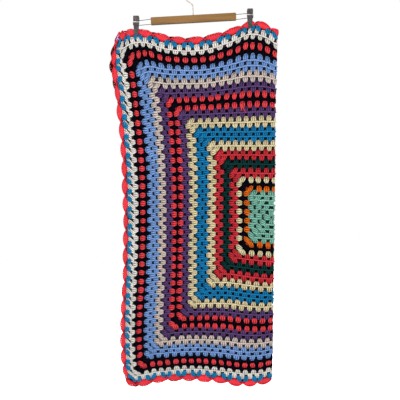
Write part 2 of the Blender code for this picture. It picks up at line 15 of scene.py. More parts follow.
import bpy
import numpy as np
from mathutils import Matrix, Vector

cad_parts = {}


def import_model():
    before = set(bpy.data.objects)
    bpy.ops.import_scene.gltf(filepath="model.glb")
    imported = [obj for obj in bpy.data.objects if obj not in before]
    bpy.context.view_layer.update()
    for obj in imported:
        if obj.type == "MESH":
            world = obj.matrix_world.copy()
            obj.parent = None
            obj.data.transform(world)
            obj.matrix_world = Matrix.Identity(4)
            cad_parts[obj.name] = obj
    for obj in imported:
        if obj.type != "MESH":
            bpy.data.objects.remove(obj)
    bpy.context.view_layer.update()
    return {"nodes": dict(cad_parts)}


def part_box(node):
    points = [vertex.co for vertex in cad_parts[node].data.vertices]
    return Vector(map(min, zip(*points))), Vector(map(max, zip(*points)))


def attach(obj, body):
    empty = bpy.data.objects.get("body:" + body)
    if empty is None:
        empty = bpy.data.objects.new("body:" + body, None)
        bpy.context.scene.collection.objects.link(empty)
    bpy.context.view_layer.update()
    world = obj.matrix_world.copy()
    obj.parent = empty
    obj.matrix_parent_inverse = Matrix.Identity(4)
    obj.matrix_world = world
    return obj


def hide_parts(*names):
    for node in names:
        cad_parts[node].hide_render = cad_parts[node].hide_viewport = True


LOG = logging.getLogger("afghan")
MM = 0.001
WOOL_SHARE = 0.85  # how much of its colour's light dull wool gives back
Array = np.ndarray
Triple = Tuple[float, float, float]
Points = Sequence[Triple]
Socket = bpy.types.NodeSocket


# The flat pattern, the same sizes as the solids.


class Pattern:
    """Sizes of the flat afghan: 39 rounds of clusters round a centre ring, and shells."""

    ROUND = 12.0 * MM
    LAST_ROUND = 39
    BODY_HALF = 40 * ROUND
    SHELL_WIDTH = 48.0 * MM
    SHELL_TIP = 18.0 * MM
    SHELL_NOTCH = 6.5 * MM
    FIRST_NOTCH = -39.0 * ROUND
    LAST_NOTCH = 37.0 * ROUND
    HALF = BODY_HALF + SHELL_TIP


class Yarn(Enum):
    """The yarns, each with its sRGB colour as it looks in full light."""

    MINT = (126, 190, 170)
    ORANGE = (232, 104, 24)
    BLACK = (5, 4, 16)
    CREAM = (226, 214, 170)
    RED = (206, 48, 58)
    PINE = (8, 50, 48)
    STRAW = (228, 212, 168)
    BLUE = (22, 122, 178)
    PURPLE = (88, 62, 112)
    CORAL = (236, 66, 74)
    BEIGE = (214, 198, 190)
    SKY = (122, 160, 220)
    WHITE = (236, 230, 222)
    TEAL = (18, 116, 168)
    LILAC = (190, 165, 215)
    EDGING = (238, 50, 62)

    @property
    def linear(self) -> Triple:
        """The colour in linear light, as dark as dull wool is.

        Returns:
            Its red, green and blue.
        """
        shares = (c / 255 for c in self.value)
        return tuple(
            WOOL_SHARE * (c / 12.92 if c <= 0.04045 else ((c + 0.055) / 1.055) ** 2.4) for c in shares
        )


# The yarn of each stretch of rounds, from the centre out, with its last round.
BANDS: Sequence[Tuple[Yarn, int]] = (
    (Yarn.MINT, 5),
    (Yarn.ORANGE, 6),
    (Yarn.BLACK, 7),
    (Yarn.CREAM, 8),
    (Yarn.RED, 10),
    (Yarn.PINE, 12),
    (Yarn.RED, 14),
    (Yarn.STRAW, 16),
    (Yarn.BLUE, 19),
    (Yarn.STRAW, 21),
    (Yarn.PURPLE, 23),
    (Yarn.CORAL, 24),
    (Yarn.BLACK, 25),
    (Yarn.CORAL, 26),
    (Yarn.PURPLE, 28),
    (Yarn.BEIGE, 30),
    (Yarn.SKY, 33),
    (Yarn.BLACK, 34),
    (Yarn.CORAL, 35),
    (Yarn.BLACK, 36),
    (Yarn.WHITE, 38),
    (Yarn.TEAL, 39),
)


def yarn_of_round(number: int) -> Yarn:
    """The yarn that a round is worked in."""
    return next(yarn for yarn, last in BANDS if number <= last)


# How the folded afghan hangs, the same tables as the solids.


class Level(NamedTuple):
    """Where a level of the cloth hangs, in rounds and millimetres."""

    rounds_up: float
    height: float
    fold_x: float
    fold_across: float
    reach_10: float
    reach_20: float
    reach_30: float
    reach_37: float
    reach_43: float
    back_edge: float


class Column(NamedTuple):
    """How the cloth rises and waves at a reach from the fold, in millimetres."""

    from_fold: float
    top_lift: float
    low_lift: float
    foot_lift: float
    top_depth: float
    waist_depth: float
    foot_depth: float


class Slide(NamedTuple):
    """How far stitches have slid along the cloth at a level, in millimetres.

    Each number is for one of the reaches from the fold that Drape.slide_at names.
    """

    rounds_up: float
    down: Tuple[float, ...]
    out: Tuple[float, ...]


def eased(share: Array) -> Array:
    """A smooth step from 0 to 1 as share goes from 0 to 1."""
    share = np.clip(share, 0.0, 1.0)
    return share * share * (3.0 - 2.0 * share)


def smooth_between(at: Array, knots: Array, values: Array) -> Array:
    """A smooth curve through values at knots.

    Args:
        at: Where to read.
        knots: The places of the values, rising.
        values: A number for each knot, or a row of numbers, one for each place read.

    Returns:
        The curve's value at each place.
    """
    slopes = np.gradient(values, knots, axis=0)
    i = np.clip(np.searchsorted(knots, at) - 1, 0, len(knots) - 2)
    first, last = np.take(knots, i), np.take(knots, i + 1)
    t = np.clip((at - first) / (last - first), 0.0, 1.0)
    rise = t * t * (3.0 - 2.0 * t)

    def pick(table: Array, row: Array) -> Array:
        """The table's value at each row, in the column of the place read if it has columns."""
        return np.take_along_axis(table, row[None], axis=0)[0] if table.ndim > 1 else table[row]

    leave = t * (1.0 - t) ** 2 * (last - first) * pick(slopes, i)
    arrive = t * t * (t - 1.0) * (last - first) * pick(slopes, i + 1)
    return (1.0 - rise) * pick(values, i) + rise * pick(values, i + 1) + leave + arrive


def smooth_curve(at: Array, rows: Sequence[NamedTuple], key: str, column: str) -> Array:
    """Reads one named column of a table as a smooth curve over its key column.

    Args:
        at: Where to read.
        rows: The table.
        key: The name of its key column.
        column: The name of the column to read.

    Returns:
        The curve's value at each place.
    """
    knots = np.array([getattr(row, key) for row in rows])
    values = np.array([getattr(row, column) for row in rows])
    return smooth_between(at, knots, values)


@dataclass(frozen=True)
class Drape:
    """Carries flat points of the afghan to where they hang.

    Places on the cloth and fades over it are in rounds where they aren't in millimetres.
    """

    levels: Sequence[Level] = (
        Level(-41.5, -1258.0, 249.9, -11.0, 112.5, 233.6, 350.2, 432.1, 486.0, 5.0),
        Level(-35.5, -1186.9, 253.0, -8.1, 116.4, 237.5, 359.9, 439.3, 492.0, -4.0),
        Level(-24.5, -1047.9, 255.0, -2.3, 119.8, 243.0, 364.2, 438.7, 495.5, -5.0),
        Level(-12.0, -883.5, 256.5, 5.0, 120.0, 241.5, 354.0, 431.5, 482.7, -6.0),
        Level(0.0, -720.8, 259.0, 12.3, 118.5, 235.6, 346.4, 423.6, 480.8, -6.0),
        Level(12.0, -554.9, 261.0, 18.3, 115.0, 233.5, 345.7, 424.2, 482.6, -6.0),
        Level(24.5, -368.5, 263.0, 24.3, 117.9, 243.9, 363.3, 437.7, 496.6, -4.0),
        Level(35.5, -204.1, 268.8, 32.5, 117.9, 253.9, 386.5, 462.8, 513.2, 8.0),
        Level(41.5, -131.5, 273.3, 36.0, 119.1, 261.1, 390.7, 481.7, 505.8, 4.0),
    )
    reach_at: Sequence[float] = (10.0, 20.0, 30.0, 37.0, 43.0)
    columns: Sequence[Column] = (
        Column(0.0, 4.6, -7.9, 12.6, 6.0, 0.0, 8.0),
        Column(34.0, 24.0, -6.3, 5.0, 3.0, -2.0, 2.0),
        Column(86.0, 32.0, -1.6, 3.4, 0.0, -4.0, -10.0),
        Column(151.0, 6.3, 7.0, 11.7, -10.0, -2.0, -6.0),
        Column(216.0, -16.5, 7.6, 16.4, -20.0, 4.0, 8.0),
        Column(285.0, -25.0, 4.7, 17.4, -24.0, 6.0, 12.0),
        Column(353.0, -16.0, 1.6, 14.0, -16.0, 2.0, 4.0),
        Column(414.0, 1.9, 0.0, 1.6, -4.0, -4.0, -10.0),
        Column(461.0, 5.7, 0.0, -4.7, 0.0, -4.0, -12.0),
        Column(530.0, -8.0, 0.0, -3.0, 14.0, 4.0, 6.0),
    )
    slide_at: Sequence[float] = (0.0, 8.0, 16.0, 24.0, 28.0, 32.0, 36.0, 40.0)
    slides: Sequence[Slide] = (
        Slide(-40.0, (1.0, -0.5, 0.7, 2.1, 3.9, 4.8, 4.6, 5.3),
              (0.0, -1.3, 1.4, -1.3, -0.3, -2.2, -3.4, -3.4)),
        Slide(-37.0, (6.9, 4.8, 7.2, 8.4, 11.9, 8.8, 9.2, 13.4),
              (0.0, 1.1, 2.0, -0.3, 1.8, 1.1, -0.1, 1.2)),
        Slide(-33.0, (8.7, 7.6, 7.8, 10.2, 11.7, 7.8, 12.7, 16.9),
              (0.0, 3.3, 4.2, 1.5, 4.2, 1.7, 0.7, 1.6)),
        Slide(-26.0, (8.4, 4.2, 5.5, 9.6, 13.0, 11.7, 12.7, 15.6),
              (0.0, 2.8, 3.1, 1.6, 2.1, 1.0, 2.9, 2.4)),
        Slide(-13.0, (4.8, 1.0, 7.2, 13.2, 12.4, 10.3, 12.0, 12.8),
              (0.0, 5.2, 0.2, -0.8, -2.0, -5.2, -3.8, -0.1)),
        Slide(0.0, (0.8, -2.7, -0.7, 4.8, 6.6, 5.6, 10.2, 12.6),
              (0.0, -0.3, -0.7, -0.9, -1.5, -2.7, -3.3, -1.5)),
        Slide(13.0, (-4.0, -4.9, -3.9, 0.3, 1.6, 4.3, 11.3, 13.3),
              (0.0, 2.4, -4.3, -1.2, -0.6, -3.3, -4.1, 1.3)),
        Slide(26.0, (-2.4, 3.4, -0.5, -1.6, 1.8, 3.7, 15.0, 19.0),
              (0.0, -1.1, -3.6, -4.9, -8.8, -7.7, -1.2, -1.3)),
        Slide(33.0, (4.7, 6.6, 1.2, -2.7, -0.9, 1.4, 14.7, 19.0),
              (0.0, -0.1, -2.6, -3.4, -4.3, -5.0, -4.0, 0.0)),
        Slide(37.0, (4.5, -0.7, 0.5, -1.2, -0.5, -4.1, 2.4, 14.9),
              (0.0, -2.4, -1.0, -1.0, -0.8, -0.9, -2.0, 4.7)),
        Slide(40.0, (1.0, -1.0, -0.2, 1.4, 0.9, -2.5, -0.4, 3.3),
              (0.0, -5.8, 0.7, 0.0, 0.7, 0.2, 3.4, 3.4)),
    )
    low_lift_at: float = -14.0
    low_lift_reach: float = 9.0
    corner_reach: float = 34.0 * MM
    foot_corner_pull: float = 11.0 * MM
    corner_curl: float = 9.0 * MM
    corner_gather: float = 8.0 * MM
    gather_below: float = 55.0 * MM
    gather_from: float = 33.0
    gather_over: float = 3.5
    fold_radius: float = 7.0 * MM
    clip_x: Tuple[float, float] = (-175.5 * MM, 183.8 * MM)
    grip_below_edge: float = 10.0 * MM
    grip_flat: float = 15.0 * MM
    grip_fade: float = 55.0 * MM
    grip_half_gap: float = 1.75 * MM
    grip_squeeze: float = 0.16
    grip_flatten: float = 0.56
    draw_from: float = 28.0
    draw_over: float = 13.0
    draw_width: float = 60.0 * MM
    top_lift_from: float = 16.0
    top_lift_over: float = 22.0
    slide_end: float = 40.5
    slide_fade: float = 3.0
    sink_end: float = 39.6
    sink_fade: float = 2.0

    def level(self, rounds_up: Array, column: str) -> Array:
        """A column of the levels' table."""
        return smooth_curve(rounds_up, self.levels, "rounds_up", column)

    def column(self, from_fold: Array, column: str) -> Array:
        """A column of the columns' table."""
        return smooth_curve(from_fold, self.columns, "from_fold", column)

    def fold_shift(self, up: Array) -> Array:
        """Where the fold crosses the flat afghan, across from its centre line."""
        return self.level(up / Pattern.ROUND, "fold_across") * MM

    def hanging_run(self, inward: Array, rounds_up: Array) -> Array:
        """How far the cloth reaches from the folded edge at this flat distance from it.

        Args:
            inward: Flat distances from the fold.
            rounds_up: How far up the cloth, in rounds.

        Returns:
            The distances across, as it hangs.
        """
        inward, rounds_up = np.broadcast_arrays(inward, rounds_up)
        radius = self.fold_radius
        turned = math.pi / 2 * radius
        bend = radius * (1.0 - np.cos(np.minimum(inward, turned) / radius))
        knots = np.array([turned / Pattern.ROUND, *self.reach_at])
        reaches = [self.level(rounds_up, f"reach_{at:.0f}") * MM for at in self.reach_at]
        reaches = np.stack([np.full(rounds_up.shape, radius), *reaches])
        rounds_in = inward / Pattern.ROUND
        past = np.maximum(rounds_in - knots[-1], 0.0)
        past = past * (reaches[-1] - reaches[-2]) / (knots[-1] - knots[-2])
        return np.where(inward < turned, bend, smooth_between(rounds_in, knots, reaches) + past)

    def hung_x(self, across: Array, up: Array) -> Array:
        """The X at which a flat point hangs, before the clips draw the cloth in.

        Args:
            across: Flat distances across, from the centre line.
            up: Flat distances up from it.

        Returns:
            The X of each point.
        """
        rounds_up = up / Pattern.ROUND
        shift = self.fold_shift(up)
        run = self.hanging_run(np.abs(across - shift), rounds_up)
        front_edge = self.hanging_run(Pattern.HALF + shift, rounds_up)
        back_edge = self.hanging_run(Pattern.HALF - shift, rounds_up)
        wanted = front_edge + self.level(rounds_up, "back_edge") * MM
        run = np.where(across > shift, run * wanted / back_edge, run)
        return self.level(rounds_up, "fold_x") * MM - run

    def hold(self, across: Array, up: Array) -> Array:
        """1 where a clip holds the cloth flat and pinched, fading to 0 around it.

        Args:
            across: Flat distances across, from the centre line.
            up: Flat distances up from it.

        Returns:
            The hold at each point.
        """
        x = self.hung_x(across, up)
        below = up - (Pattern.HALF - self.grip_below_edge)
        hold = np.zeros(np.shape(x))
        for clip_x in self.clip_x:
            distance = np.hypot(x - clip_x, below)
            hold = np.maximum(hold, 1.0 - eased((distance - self.grip_flat) / self.grip_fade))
        return hold

    def place(self, across: Array, up: Array) -> Array:
        """Where flat points hang, on the middle of the cloth's thickness.

        Args:
            across: Flat distances across, from the centre line.
            up: Flat distances up from it.

        Returns:
            Rows of x, y and z.
        """
        rounds_up = up / Pattern.ROUND
        shift = self.fold_shift(up)
        behind = across > shift
        inward = np.abs(across - shift)

        x = self.hung_x(across, up)
        from_fold = self.level(rounds_up, "fold_x") - x / MM
        topness = eased((rounds_up - self.draw_from) / self.draw_over)
        for clip_x in self.clip_x:
            away = x - clip_x
            x = x - self.grip_squeeze * away * np.exp(-((away / self.draw_width) ** 2)) * topness

        top_share = eased((rounds_up - self.top_lift_from) / self.top_lift_over)
        low_share = np.exp(-(((rounds_up - self.low_lift_at) / self.low_lift_reach) ** 2))
        upper, lower = eased(up / Pattern.HALF), eased(-up / Pattern.HALF)
        z = self.level(rounds_up, "height") * MM
        z = z + self.column(from_fold, "top_lift") * MM * top_share
        z = z + self.column(from_fold, "low_lift") * MM * low_share
        z = z + self.column(from_fold, "foot_lift") * MM * lower

        waist = self.column(from_fold, "waist_depth")
        top = (self.column(from_fold, "top_depth") - waist) * upper
        foot = (self.column(from_fold, "foot_depth") - waist) * lower
        hold = self.hold(across, up)
        y = (waist + top + foot) * MM * (1.0 - hold)
        half_gap = self.fold_radius + (self.grip_half_gap - self.fold_radius) * hold
        half_gap = half_gap * np.sin(np.minimum(inward / self.fold_radius, math.pi / 2))
        y = y + np.where(behind, half_gap, -half_gap)

        past_side = Pattern.HALF - np.abs(across)
        past_end = Pattern.HALF - np.abs(up)
        corner = np.exp(-(past_side**2 + past_end**2) / (2 * self.corner_reach**2))
        pull = np.where(up < 0, self.foot_corner_pull * corner, 0.0)
        y = y + self.corner_curl * corner * (1.0 - hold)
        return np.stack([x + pull, y, z + pull], axis=-1)

    def slid(self, points: Array) -> Array:
        """Flat points of the body's stitches, moved along the cloth as its weight pulls them.

        Args:
            points: Rows of across, up and height above the cloth's middle.

        Returns:
            The same rows, moved. The edges stay where the edging holds them.
        """
        across, up, height = points.T
        shift = self.fold_shift(up)
        rounds_up, inward = up / Pattern.ROUND, np.abs(across - shift) / Pattern.ROUND
        levels = np.array([row.rounds_up for row in self.slides])
        moves = []
        for column in ("down", "out"):
            table = np.array([getattr(row, column) for row in self.slides])
            curves = np.stack([smooth_between(rounds_up, levels, line) for line in table.T])
            moves.append(smooth_between(inward, np.array(self.slide_at), curves) * MM)
        beside = np.abs(across) / Pattern.ROUND
        down = moves[0] * eased((self.slide_end - np.abs(rounds_up)) / self.slide_fade)
        down = down * eased((self.sink_end - beside) / self.sink_fade)
        out = moves[1] * eased((self.slide_end - beside) / self.slide_fade)
        return np.stack([across + np.where(across > shift, out, -out), up - down, height], axis=1)

    def gathered(self, across: Array, up: Array) -> Array:
        """Where up the cloth a stitch lies, lower where the edging bunches at the top left corner.

        Args:
            across: Flat distances across, from the centre line.
            up: Flat distances up from it.

        Returns:
            The new distances up.
        """
        rim, edge = Pattern.HALF, Pattern.BODY_HALF
        share = np.minimum((rim - up) / (rim - edge), eased((up - edge) / self.gather_below + 1.0))
        beside = eased((-across / Pattern.ROUND - self.gather_from) / self.gather_over)
        return up - self.corner_gather * np.clip(share, 0.0, 1.0) * beside

    def carry(self, points: Array) -> Array:
        """Carries points of the worked yarn to where they hang.

        Args:
            points: Rows of across, up and height above the cloth's middle.

        Returns:
            Rows of x, y and z.
        """
        across, up, height = points.T
        up = self.gathered(across, up)
        step = 1.0 * MM
        along = self.place(across + step, up) - self.place(across - step, up)
        climb = self.place(across, up + step) - self.place(across, up - step)
        normal = np.cross(along, climb)
        normal /= np.linalg.norm(normal, axis=-1, keepdims=True)
        height = height * (1.0 - self.grip_flatten * self.hold(across, up))
        return self.place(across, up) + normal * height[:, None]


# Yarn shapes.


@dataclass
class Patch:
    """A piece of yarn as points and faces, with how far along and around each corner is."""

    points: List[Triple] = field(default_factory=list)
    faces: List[Tuple[int, ...]] = field(default_factory=list)
    uvs: List[Tuple[Tuple[float, float], ...]] = field(default_factory=list)

    def add(self, other: "Patch") -> None:
        """Adds another patch's points and faces to this one.

        Args:
            other: The patch to add.
        """
        first = len(self.points)
        self.points += other.points
        self.faces += [tuple(first + i for i in face) for face in other.faces]
        self.uvs += other.uvs

    def twine(self, path: Points, widths: Sequence[float], sides: int, flatness: float = 1.0) -> None:
        """Adds a strand whose path and half widths are in millimetres.

        Args:
            path: The points that it follows.
            widths: Its half width at each of them.
            sides: How many sides it has.
            flatness: Its depth through the cloth, as a share of its width.
        """
        across = np.array(widths) * MM
        self.add(Patch.strand(np.array(path) * MM, across, flatness * across, sides))

    @classmethod
    def strand(
        cls, path: Array, across: Array, deep: Array, sides: int, start: float = 0.0
    ) -> "Patch":
        """A closed tube of yarn along a path.

        Args:
            path: The points that it follows, one row each.
            across: Its half width at each of them, in the cloth's plane.
            deep: Its half depth at each of them, through the cloth.
            sides: How many sides it has.
            start: How far along the yarn it starts, for the twist.

        Returns:
            The tube, with rounded ends.
        """
        path = np.asarray(path, float)
        tangent = np.gradient(path, axis=0)
        tangent /= np.linalg.norm(tangent, axis=1, keepdims=True)
        flat = np.cross(np.array([0.0, 0.0, 1.0]), tangent)
        flat /= np.maximum(np.linalg.norm(flat, axis=1, keepdims=True), 1e-9)
        lift = np.cross(tangent, flat)
        gone = np.concatenate([[0], np.cumsum(np.linalg.norm(np.diff(path, axis=0), axis=1))])
        gone = (gone + start) / MM
        patch = cls()
        for ring in range(len(path)):
            for side in range(sides):
                angle = 2 * math.pi * side / sides
                point = (
                    path[ring]
                    + flat[ring] * across[ring] * math.cos(angle)
                    + lift[ring] * deep[ring] * math.sin(angle)
                )
                patch.points.append(tuple(point))
        for ring in range(len(path) - 1):
            for side in range(sides):
                a = ring * sides + side
                b = ring * sides + (side + 1) % sides
                patch.faces.append((b, a, a + sides, b + sides))
                low, high = side / sides, (side + 1) / sides
                patch.uvs.append(
                    ((gone[ring], high), (gone[ring], low), (gone[ring + 1], low), (gone[ring + 1], high))
                )
        last = (len(path) - 1) * sides
        patch.faces.append(tuple(range(sides)))
        patch.uvs.append(tuple((gone[0], i / sides) for i in range(sides)))
        patch.faces.append(tuple(last + i for i in reversed(range(sides))))
        patch.uvs.append(tuple((gone[-1], i / sides) for i in reversed(range(sides))))
        return patch


@dataclass
class Stitches:
    """Many copies of one patch, each put somewhere on the flat afghan."""

    patch: Patch
    points: List[Array] = field(default_factory=list)
    tints: List[Array] = field(default_factory=list)

    def add(self, flat_points: Array, tints: Array) -> None:
        """Adds copies, as (copies, points, 3) flat points and one tint for each copy."""
        self.points.append(flat_points)
        self.tints.append(tints)

    def mesh(self, name: str, drape: Drape) -> bpy.types.Mesh:
        """The hung copies as one mesh.

        Args:
            name: The mesh's name.
            drape: How the cloth hangs.

        Returns:
            The mesh, with each copy's tint and each point's height, for painted shade and highlight.
        """
        flat = np.concatenate(self.points)
        tints = np.concatenate(self.tints)
        copies, count = flat.shape[:2]
        points = drape.carry(flat.reshape(-1, 3))
        sizes = np.tile([len(face) for face in self.patch.faces], copies)
        corners = np.concatenate([np.array(face) for face in self.patch.faces])
        corners = (corners[None, :] + count * np.arange(copies)[:, None]).reshape(-1)
        uvs = np.concatenate([np.array(uv, float) for uv in self.patch.uvs])
        mesh = filled_mesh(name, points, corners, sizes, np.tile(uvs, (copies, 1)))
        set_values(mesh, "tint", np.repeat(tints, count))
        # The heights drive the yarn material's painted shade on low parts and painted highlight on high
        # parts.
        set_values(mesh, "relief", flat[..., 2].reshape(-1) / MM)
        return mesh


def filled_mesh(name: str, points: Array, corners: Array, sizes: Array, uvs: Array) -> bpy.types.Mesh:
    """A smooth mesh from flat arrays.

    Args:
        name: The mesh's name.
        points: Rows of x, y and z.
        corners: The point of each face corner, face after face.
        sizes: How many corners each face has.
        uvs: The yarn coordinates of each face corner.

    Returns:
        The mesh.
    """
    mesh = bpy.data.meshes.new(name)
    mesh.vertices.add(len(points))
    mesh.vertices.foreach_set("co", np.ascontiguousarray(points, np.float32).reshape(-1))
    mesh.loops.add(len(corners))
    mesh.loops.foreach_set("vertex_index", np.ascontiguousarray(corners, np.int32))
    mesh.polygons.add(len(sizes))
    starts = np.concatenate([[0], np.cumsum(sizes)[:-1]])
    mesh.polygons.foreach_set("loop_start", starts.astype(np.int32))
    mesh.update(calc_edges=True)
    layer = mesh.uv_layers.new(name="yarn")
    layer.data.foreach_set("uv", np.ascontiguousarray(uvs, np.float32).reshape(-1))
    mesh.shade_smooth()
    return mesh


def set_values(mesh: bpy.types.Mesh, name: str, values: Array) -> None:
    """Stores one number for each point of a mesh."""
    attribute = mesh.attributes.new(name, "FLOAT", "POINT")
    attribute.data.foreach_set("value", np.ascontiguousarray(values, np.float32))


@dataclass(frozen=True)
class ClusterShape:
    """One granny cluster: three posts from one space, with their chain tops.

    The sequences follow a post or a loop from end to end, in millimetres, but for shares,
    which says where along a post the others are given.
    """

    sides: int = 5
    foot: float = -6.5 * MM
    head: float = 10.0 * MM
    outer_drop: float = 0.9 * MM
    turn: float = 7.0 * MM
    spread: Sequence[float] = (2.9, 4.5, 5.6, 5.6, 4.6)
    across: Sequence[float] = (1.8, 2.4, 2.65, 2.6, 1.9)
    deep: Sequence[float] = (1.6, 2.3, 2.7, 2.6, 1.6)
    bow: Sequence[float] = (0.5, 0.9, 0.9, 0.4, -0.4)
    shares: Sequence[float] = (0.0, 0.25, 0.52, 0.8, 1.0)
    loop: Points = ((-2.6, -1.0, 0.0), (-0.8, -0.1, 1.5), (1.2, 0.4, 1.5), (2.8, 0.1, 0.0))
    loop_widths: Sequence[float] = (0.8, 1.45, 1.45, 0.8)
    loop_rise: float = 0.6 * MM
    outer_loop_drop: float = 1.0 * MM

    def share(self, out: Array) -> Array:
        """How far up the cluster, from its foot at 0 to its head at 1."""
        return np.clip((out - self.foot) / (self.head - self.foot), 0.0, 1.0)

    def patch(self) -> Patch:
        """The three posts and the loops over their heads.

        Returns:
            The cluster, in along, out and height.
        """
        patch = Patch()
        across, deep = np.array(self.across) * MM, np.array(self.deep) * MM
        for post in (-1, 0, 1):
            head = self.head - self.outer_drop * abs(post)
            out = self.foot + (head - self.foot) * np.array(self.shares)
            path = np.stack([post * np.array(self.spread), out / MM, self.bow], axis=1) * MM
            patch.add(Patch.strand(path, across, deep, self.sides, post * self.turn))
        for post in (-1, 0, 1):
            top = (self.head + self.loop_rise - self.outer_loop_drop * abs(post)) / MM
            patch.twine(np.array(self.loop) + (post * self.spread[-1], top, 0.0), self.loop_widths, 4)
        return patch


class Side(NamedTuple):
    """One side of the square: the directions along it, clockwise, and out of it."""

    along: Tuple[float, float]
    out: Tuple[float, float]

    def flat(self, along: Array, out: Array, height: Array) -> Array:
        """Flat points from places along and out of this side.

        Args:
            along: Distances along the side, clockwise.
            out: Distances out from the centre.
            height: Heights above the cloth's middle.

        Returns:
            Rows of across, up and height.
        """
        across = along * self.along[0] + out * self.out[0]
        up = along * self.along[1] + out * self.out[1]
        return np.stack([across, up, height], axis=-1)


SIDES = (
    Side((1, 0), (0, 1)),
    Side((0, -1), (1, 0)),
    Side((-1, 0), (0, -1)),
    Side((0, 1), (-1, 0)),
)


class OuterFit(NamedTuple):
    """How the clusters fit the edging on one kind of side.

    taller and longer scale the height of every cluster and of the last round's. reach is
    how far, in millimetres, the heads of the round before reach under it. narrower, out
    and lift shape the last round, the latter two in millimetres.
    """

    taller: float
    reach: float
    narrower: float
    longer: float
    out: float
    lift: float


@dataclass
class GrannySquare:
    """Works the afghan's body round by round, and the sheet of painted shade behind its stitches."""

    shape: ClusterShape
    random: np.random.Generator
    foot_turn: float = 5.5 * MM
    lean: float = 1.2 * MM
    pairing: float = 4.0 * MM
    level_sides: OuterFit = OuterFit(0.88, 5.5, 0.88, 1.1, 1.4, 2.5)
    upright_sides: OuterFit = OuterFit(1.0, 8.0, 0.93, 1.03, -1.4, 3.0)
    under_lift: float = 0.6 * MM
    width_wobble: float = 0.06
    place_wobble: float = 0.6 * MM
    lean_wobble: float = 1.1 * MM
    height_wobble: float = 0.04
    out_wobble: float = 0.4 * MM
    ridge_path: Points = ((-3.6, -0.6, 3.0), (-1.2, 0.3, 4.1), (1.2, 0.5, 4.1), (3.8, -0.6, 3.0))
    ridge_widths: Sequence[float] = (1.2, 1.9, 1.9, 1.2)
    ridge_flatness: float = 0.8
    ridge_pitch: float = 5.6 * MM
    ridge_past: float = 4.0 * MM
    ridge_out: float = 7.6 * MM
    upright_ridge_sink_and_shade: float = 3.6 * MM
    ridge_wobbles: Tuple[float, float] = (0.3 * MM, 0.35 * MM)
    filling_width: float = 0.55
    filling_height: float = 0.9
    filling_in: float = 2.0 * MM
    filling_back: float = 1.5 * MM
    filling_under: float = 1.0 * MM
    ring_reaches: Sequence[float] = (2.5, 5.5, 8.5, 10.5)
    ring_widths: Sequence[float] = (1.3, 2.0, 2.3, 1.5)
    ring_height: float = 0.6
    ring_posts: int = 8
    # The sheet of painted shade: its depth behind the stitches, and the heights that make the yarn
    # material paint it near black, half dark under the edging's ring.
    hole_shade_depth: float = 0.8 * MM
    ground_relief: float = -4.0
    rim_relief: float = 1.0

    def work_round(self, patch: Patch, number: int) -> Tuple[Array, Array]:
        """Copies of a cluster for a whole round.

        Args:
            patch: The cluster, in along, out and height.
            number: The round, from 1 at the centre.

        Returns:
            The copies' flat points and their tints.
        """
        base = np.array(patch.points)
        place = -(number - 1) + 2 * np.arange(number)
        middle, level = place[:, None] * Pattern.ROUND, number * Pattern.ROUND
        turn = (place == number - 1) * 1.0 - (place == 1 - number) * 1.0
        share = self.shape.share(base[None, :, 1])
        placed, tints = [], []
        for side in SIDES:
            fit = self.level_sides if side.out[1] else self.upright_sides
            wobble = self.random.normal(size=(6, number, 1))
            along = base[None, :, 0] * (1 + self.width_wobble * wobble[0])
            along = along + middle + self.place_wobble * wobble[1]
            along = along + (self.lean + self.lean_wobble * wobble[2]) * (share - 0.5)
            along = along + turn[:, None] * self.foot_turn * (1 - share)
            out = base[None, :, 1] * (fit.taller + self.height_wobble * wobble[3])
            out = out + self.out_wobble * wobble[4] + level
            height = np.repeat(base[None, :, 2], number, axis=0)
            if number == Pattern.LAST_ROUND - 1:
                out, height = out + fit.reach * MM * share**2, height + self.under_lift
            if number == Pattern.LAST_ROUND:
                towards = np.where(place % 4 == 0, 1.0, -1.0)[:, None] * self.pairing * share
                along = middle + towards + fit.narrower * (along - middle)
                out = level + fit.longer * (out - level) + fit.out * MM
                height = height + fit.lift * MM
            placed.append(side.flat(along, out, height))
            tints.append(wobble[5, :, 0])
            if number > 2:
                placed.append(self.corner_filling(side, base, number)[None])
                tints.append(self.random.normal(size=1))
        return np.concatenate(placed), np.concatenate(tints)

    def ridge_stitch(self) -> Patch:
        """One chain of the line along the top of a round, in along, out and height.

        Returns:
            The chain.
        """
        patch = Patch()
        patch.twine(self.ridge_path, self.ridge_widths, 4, self.ridge_flatness)
        return patch

    def work_ridge(self, patch: Patch, number: int) -> Tuple[Array, Array]:
        """Copies of a ridge stitch along the top of a round that the same yarn goes on from.

        Args:
            patch: The ridge stitch, in along, out and height.
            number: The round, from 1 at the centre.

        Returns:
            The copies' flat points and their tints.
        """
        base = np.array(patch.points)
        half = number * Pattern.ROUND + self.ridge_past
        count = round(2 * half / self.ridge_pitch)
        place = (np.arange(count) + 0.5) * 2 * half / count - half
        placed, tints = [], []
        for side in SIDES:
            wobble = self.random.normal(size=(3, count, 1))
            along = base[None, :, 0] + place[:, None] + self.ridge_wobbles[0] * wobble[0]
            out = base[None, :, 1] + number * Pattern.ROUND + self.ridge_out
            out = out + self.ridge_wobbles[1] * wobble[1]
            # On the upright sides the ridges are sunk, which also paints them darker through the height
            # shade: painted shade, as light from above catches only the ridges of the level sides.
            lower = 0.0 if side.out[1] else self.upright_ridge_sink_and_shade
            height = np.repeat(base[None, :, 2] - lower, count, axis=0)
            placed.append(side.flat(along, out, height))
            tints.append(wobble[2, :, 0])
        return np.concatenate(placed), np.concatenate(tints)

    def corner_filling(self, side: Side, base: Array, number: int) -> Array:
        """A narrow cluster low on the diagonal, between the two clusters of a corner.

        Args:
            side: The side that the corner ends.
            base: The cluster's points.
            number: The round.

        Returns:
            The flat points of the narrow cluster.
        """
        across = base[:, 0] * self.filling_width
        out = base[:, 1] * self.filling_height - self.filling_in
        turn = math.sqrt(0.5)
        middle = number * Pattern.ROUND - self.filling_back
        along, out = middle + (across + out) * turn, middle + (out - across) * turn
        return side.flat(along, out, base[:, 2] - self.filling_under)

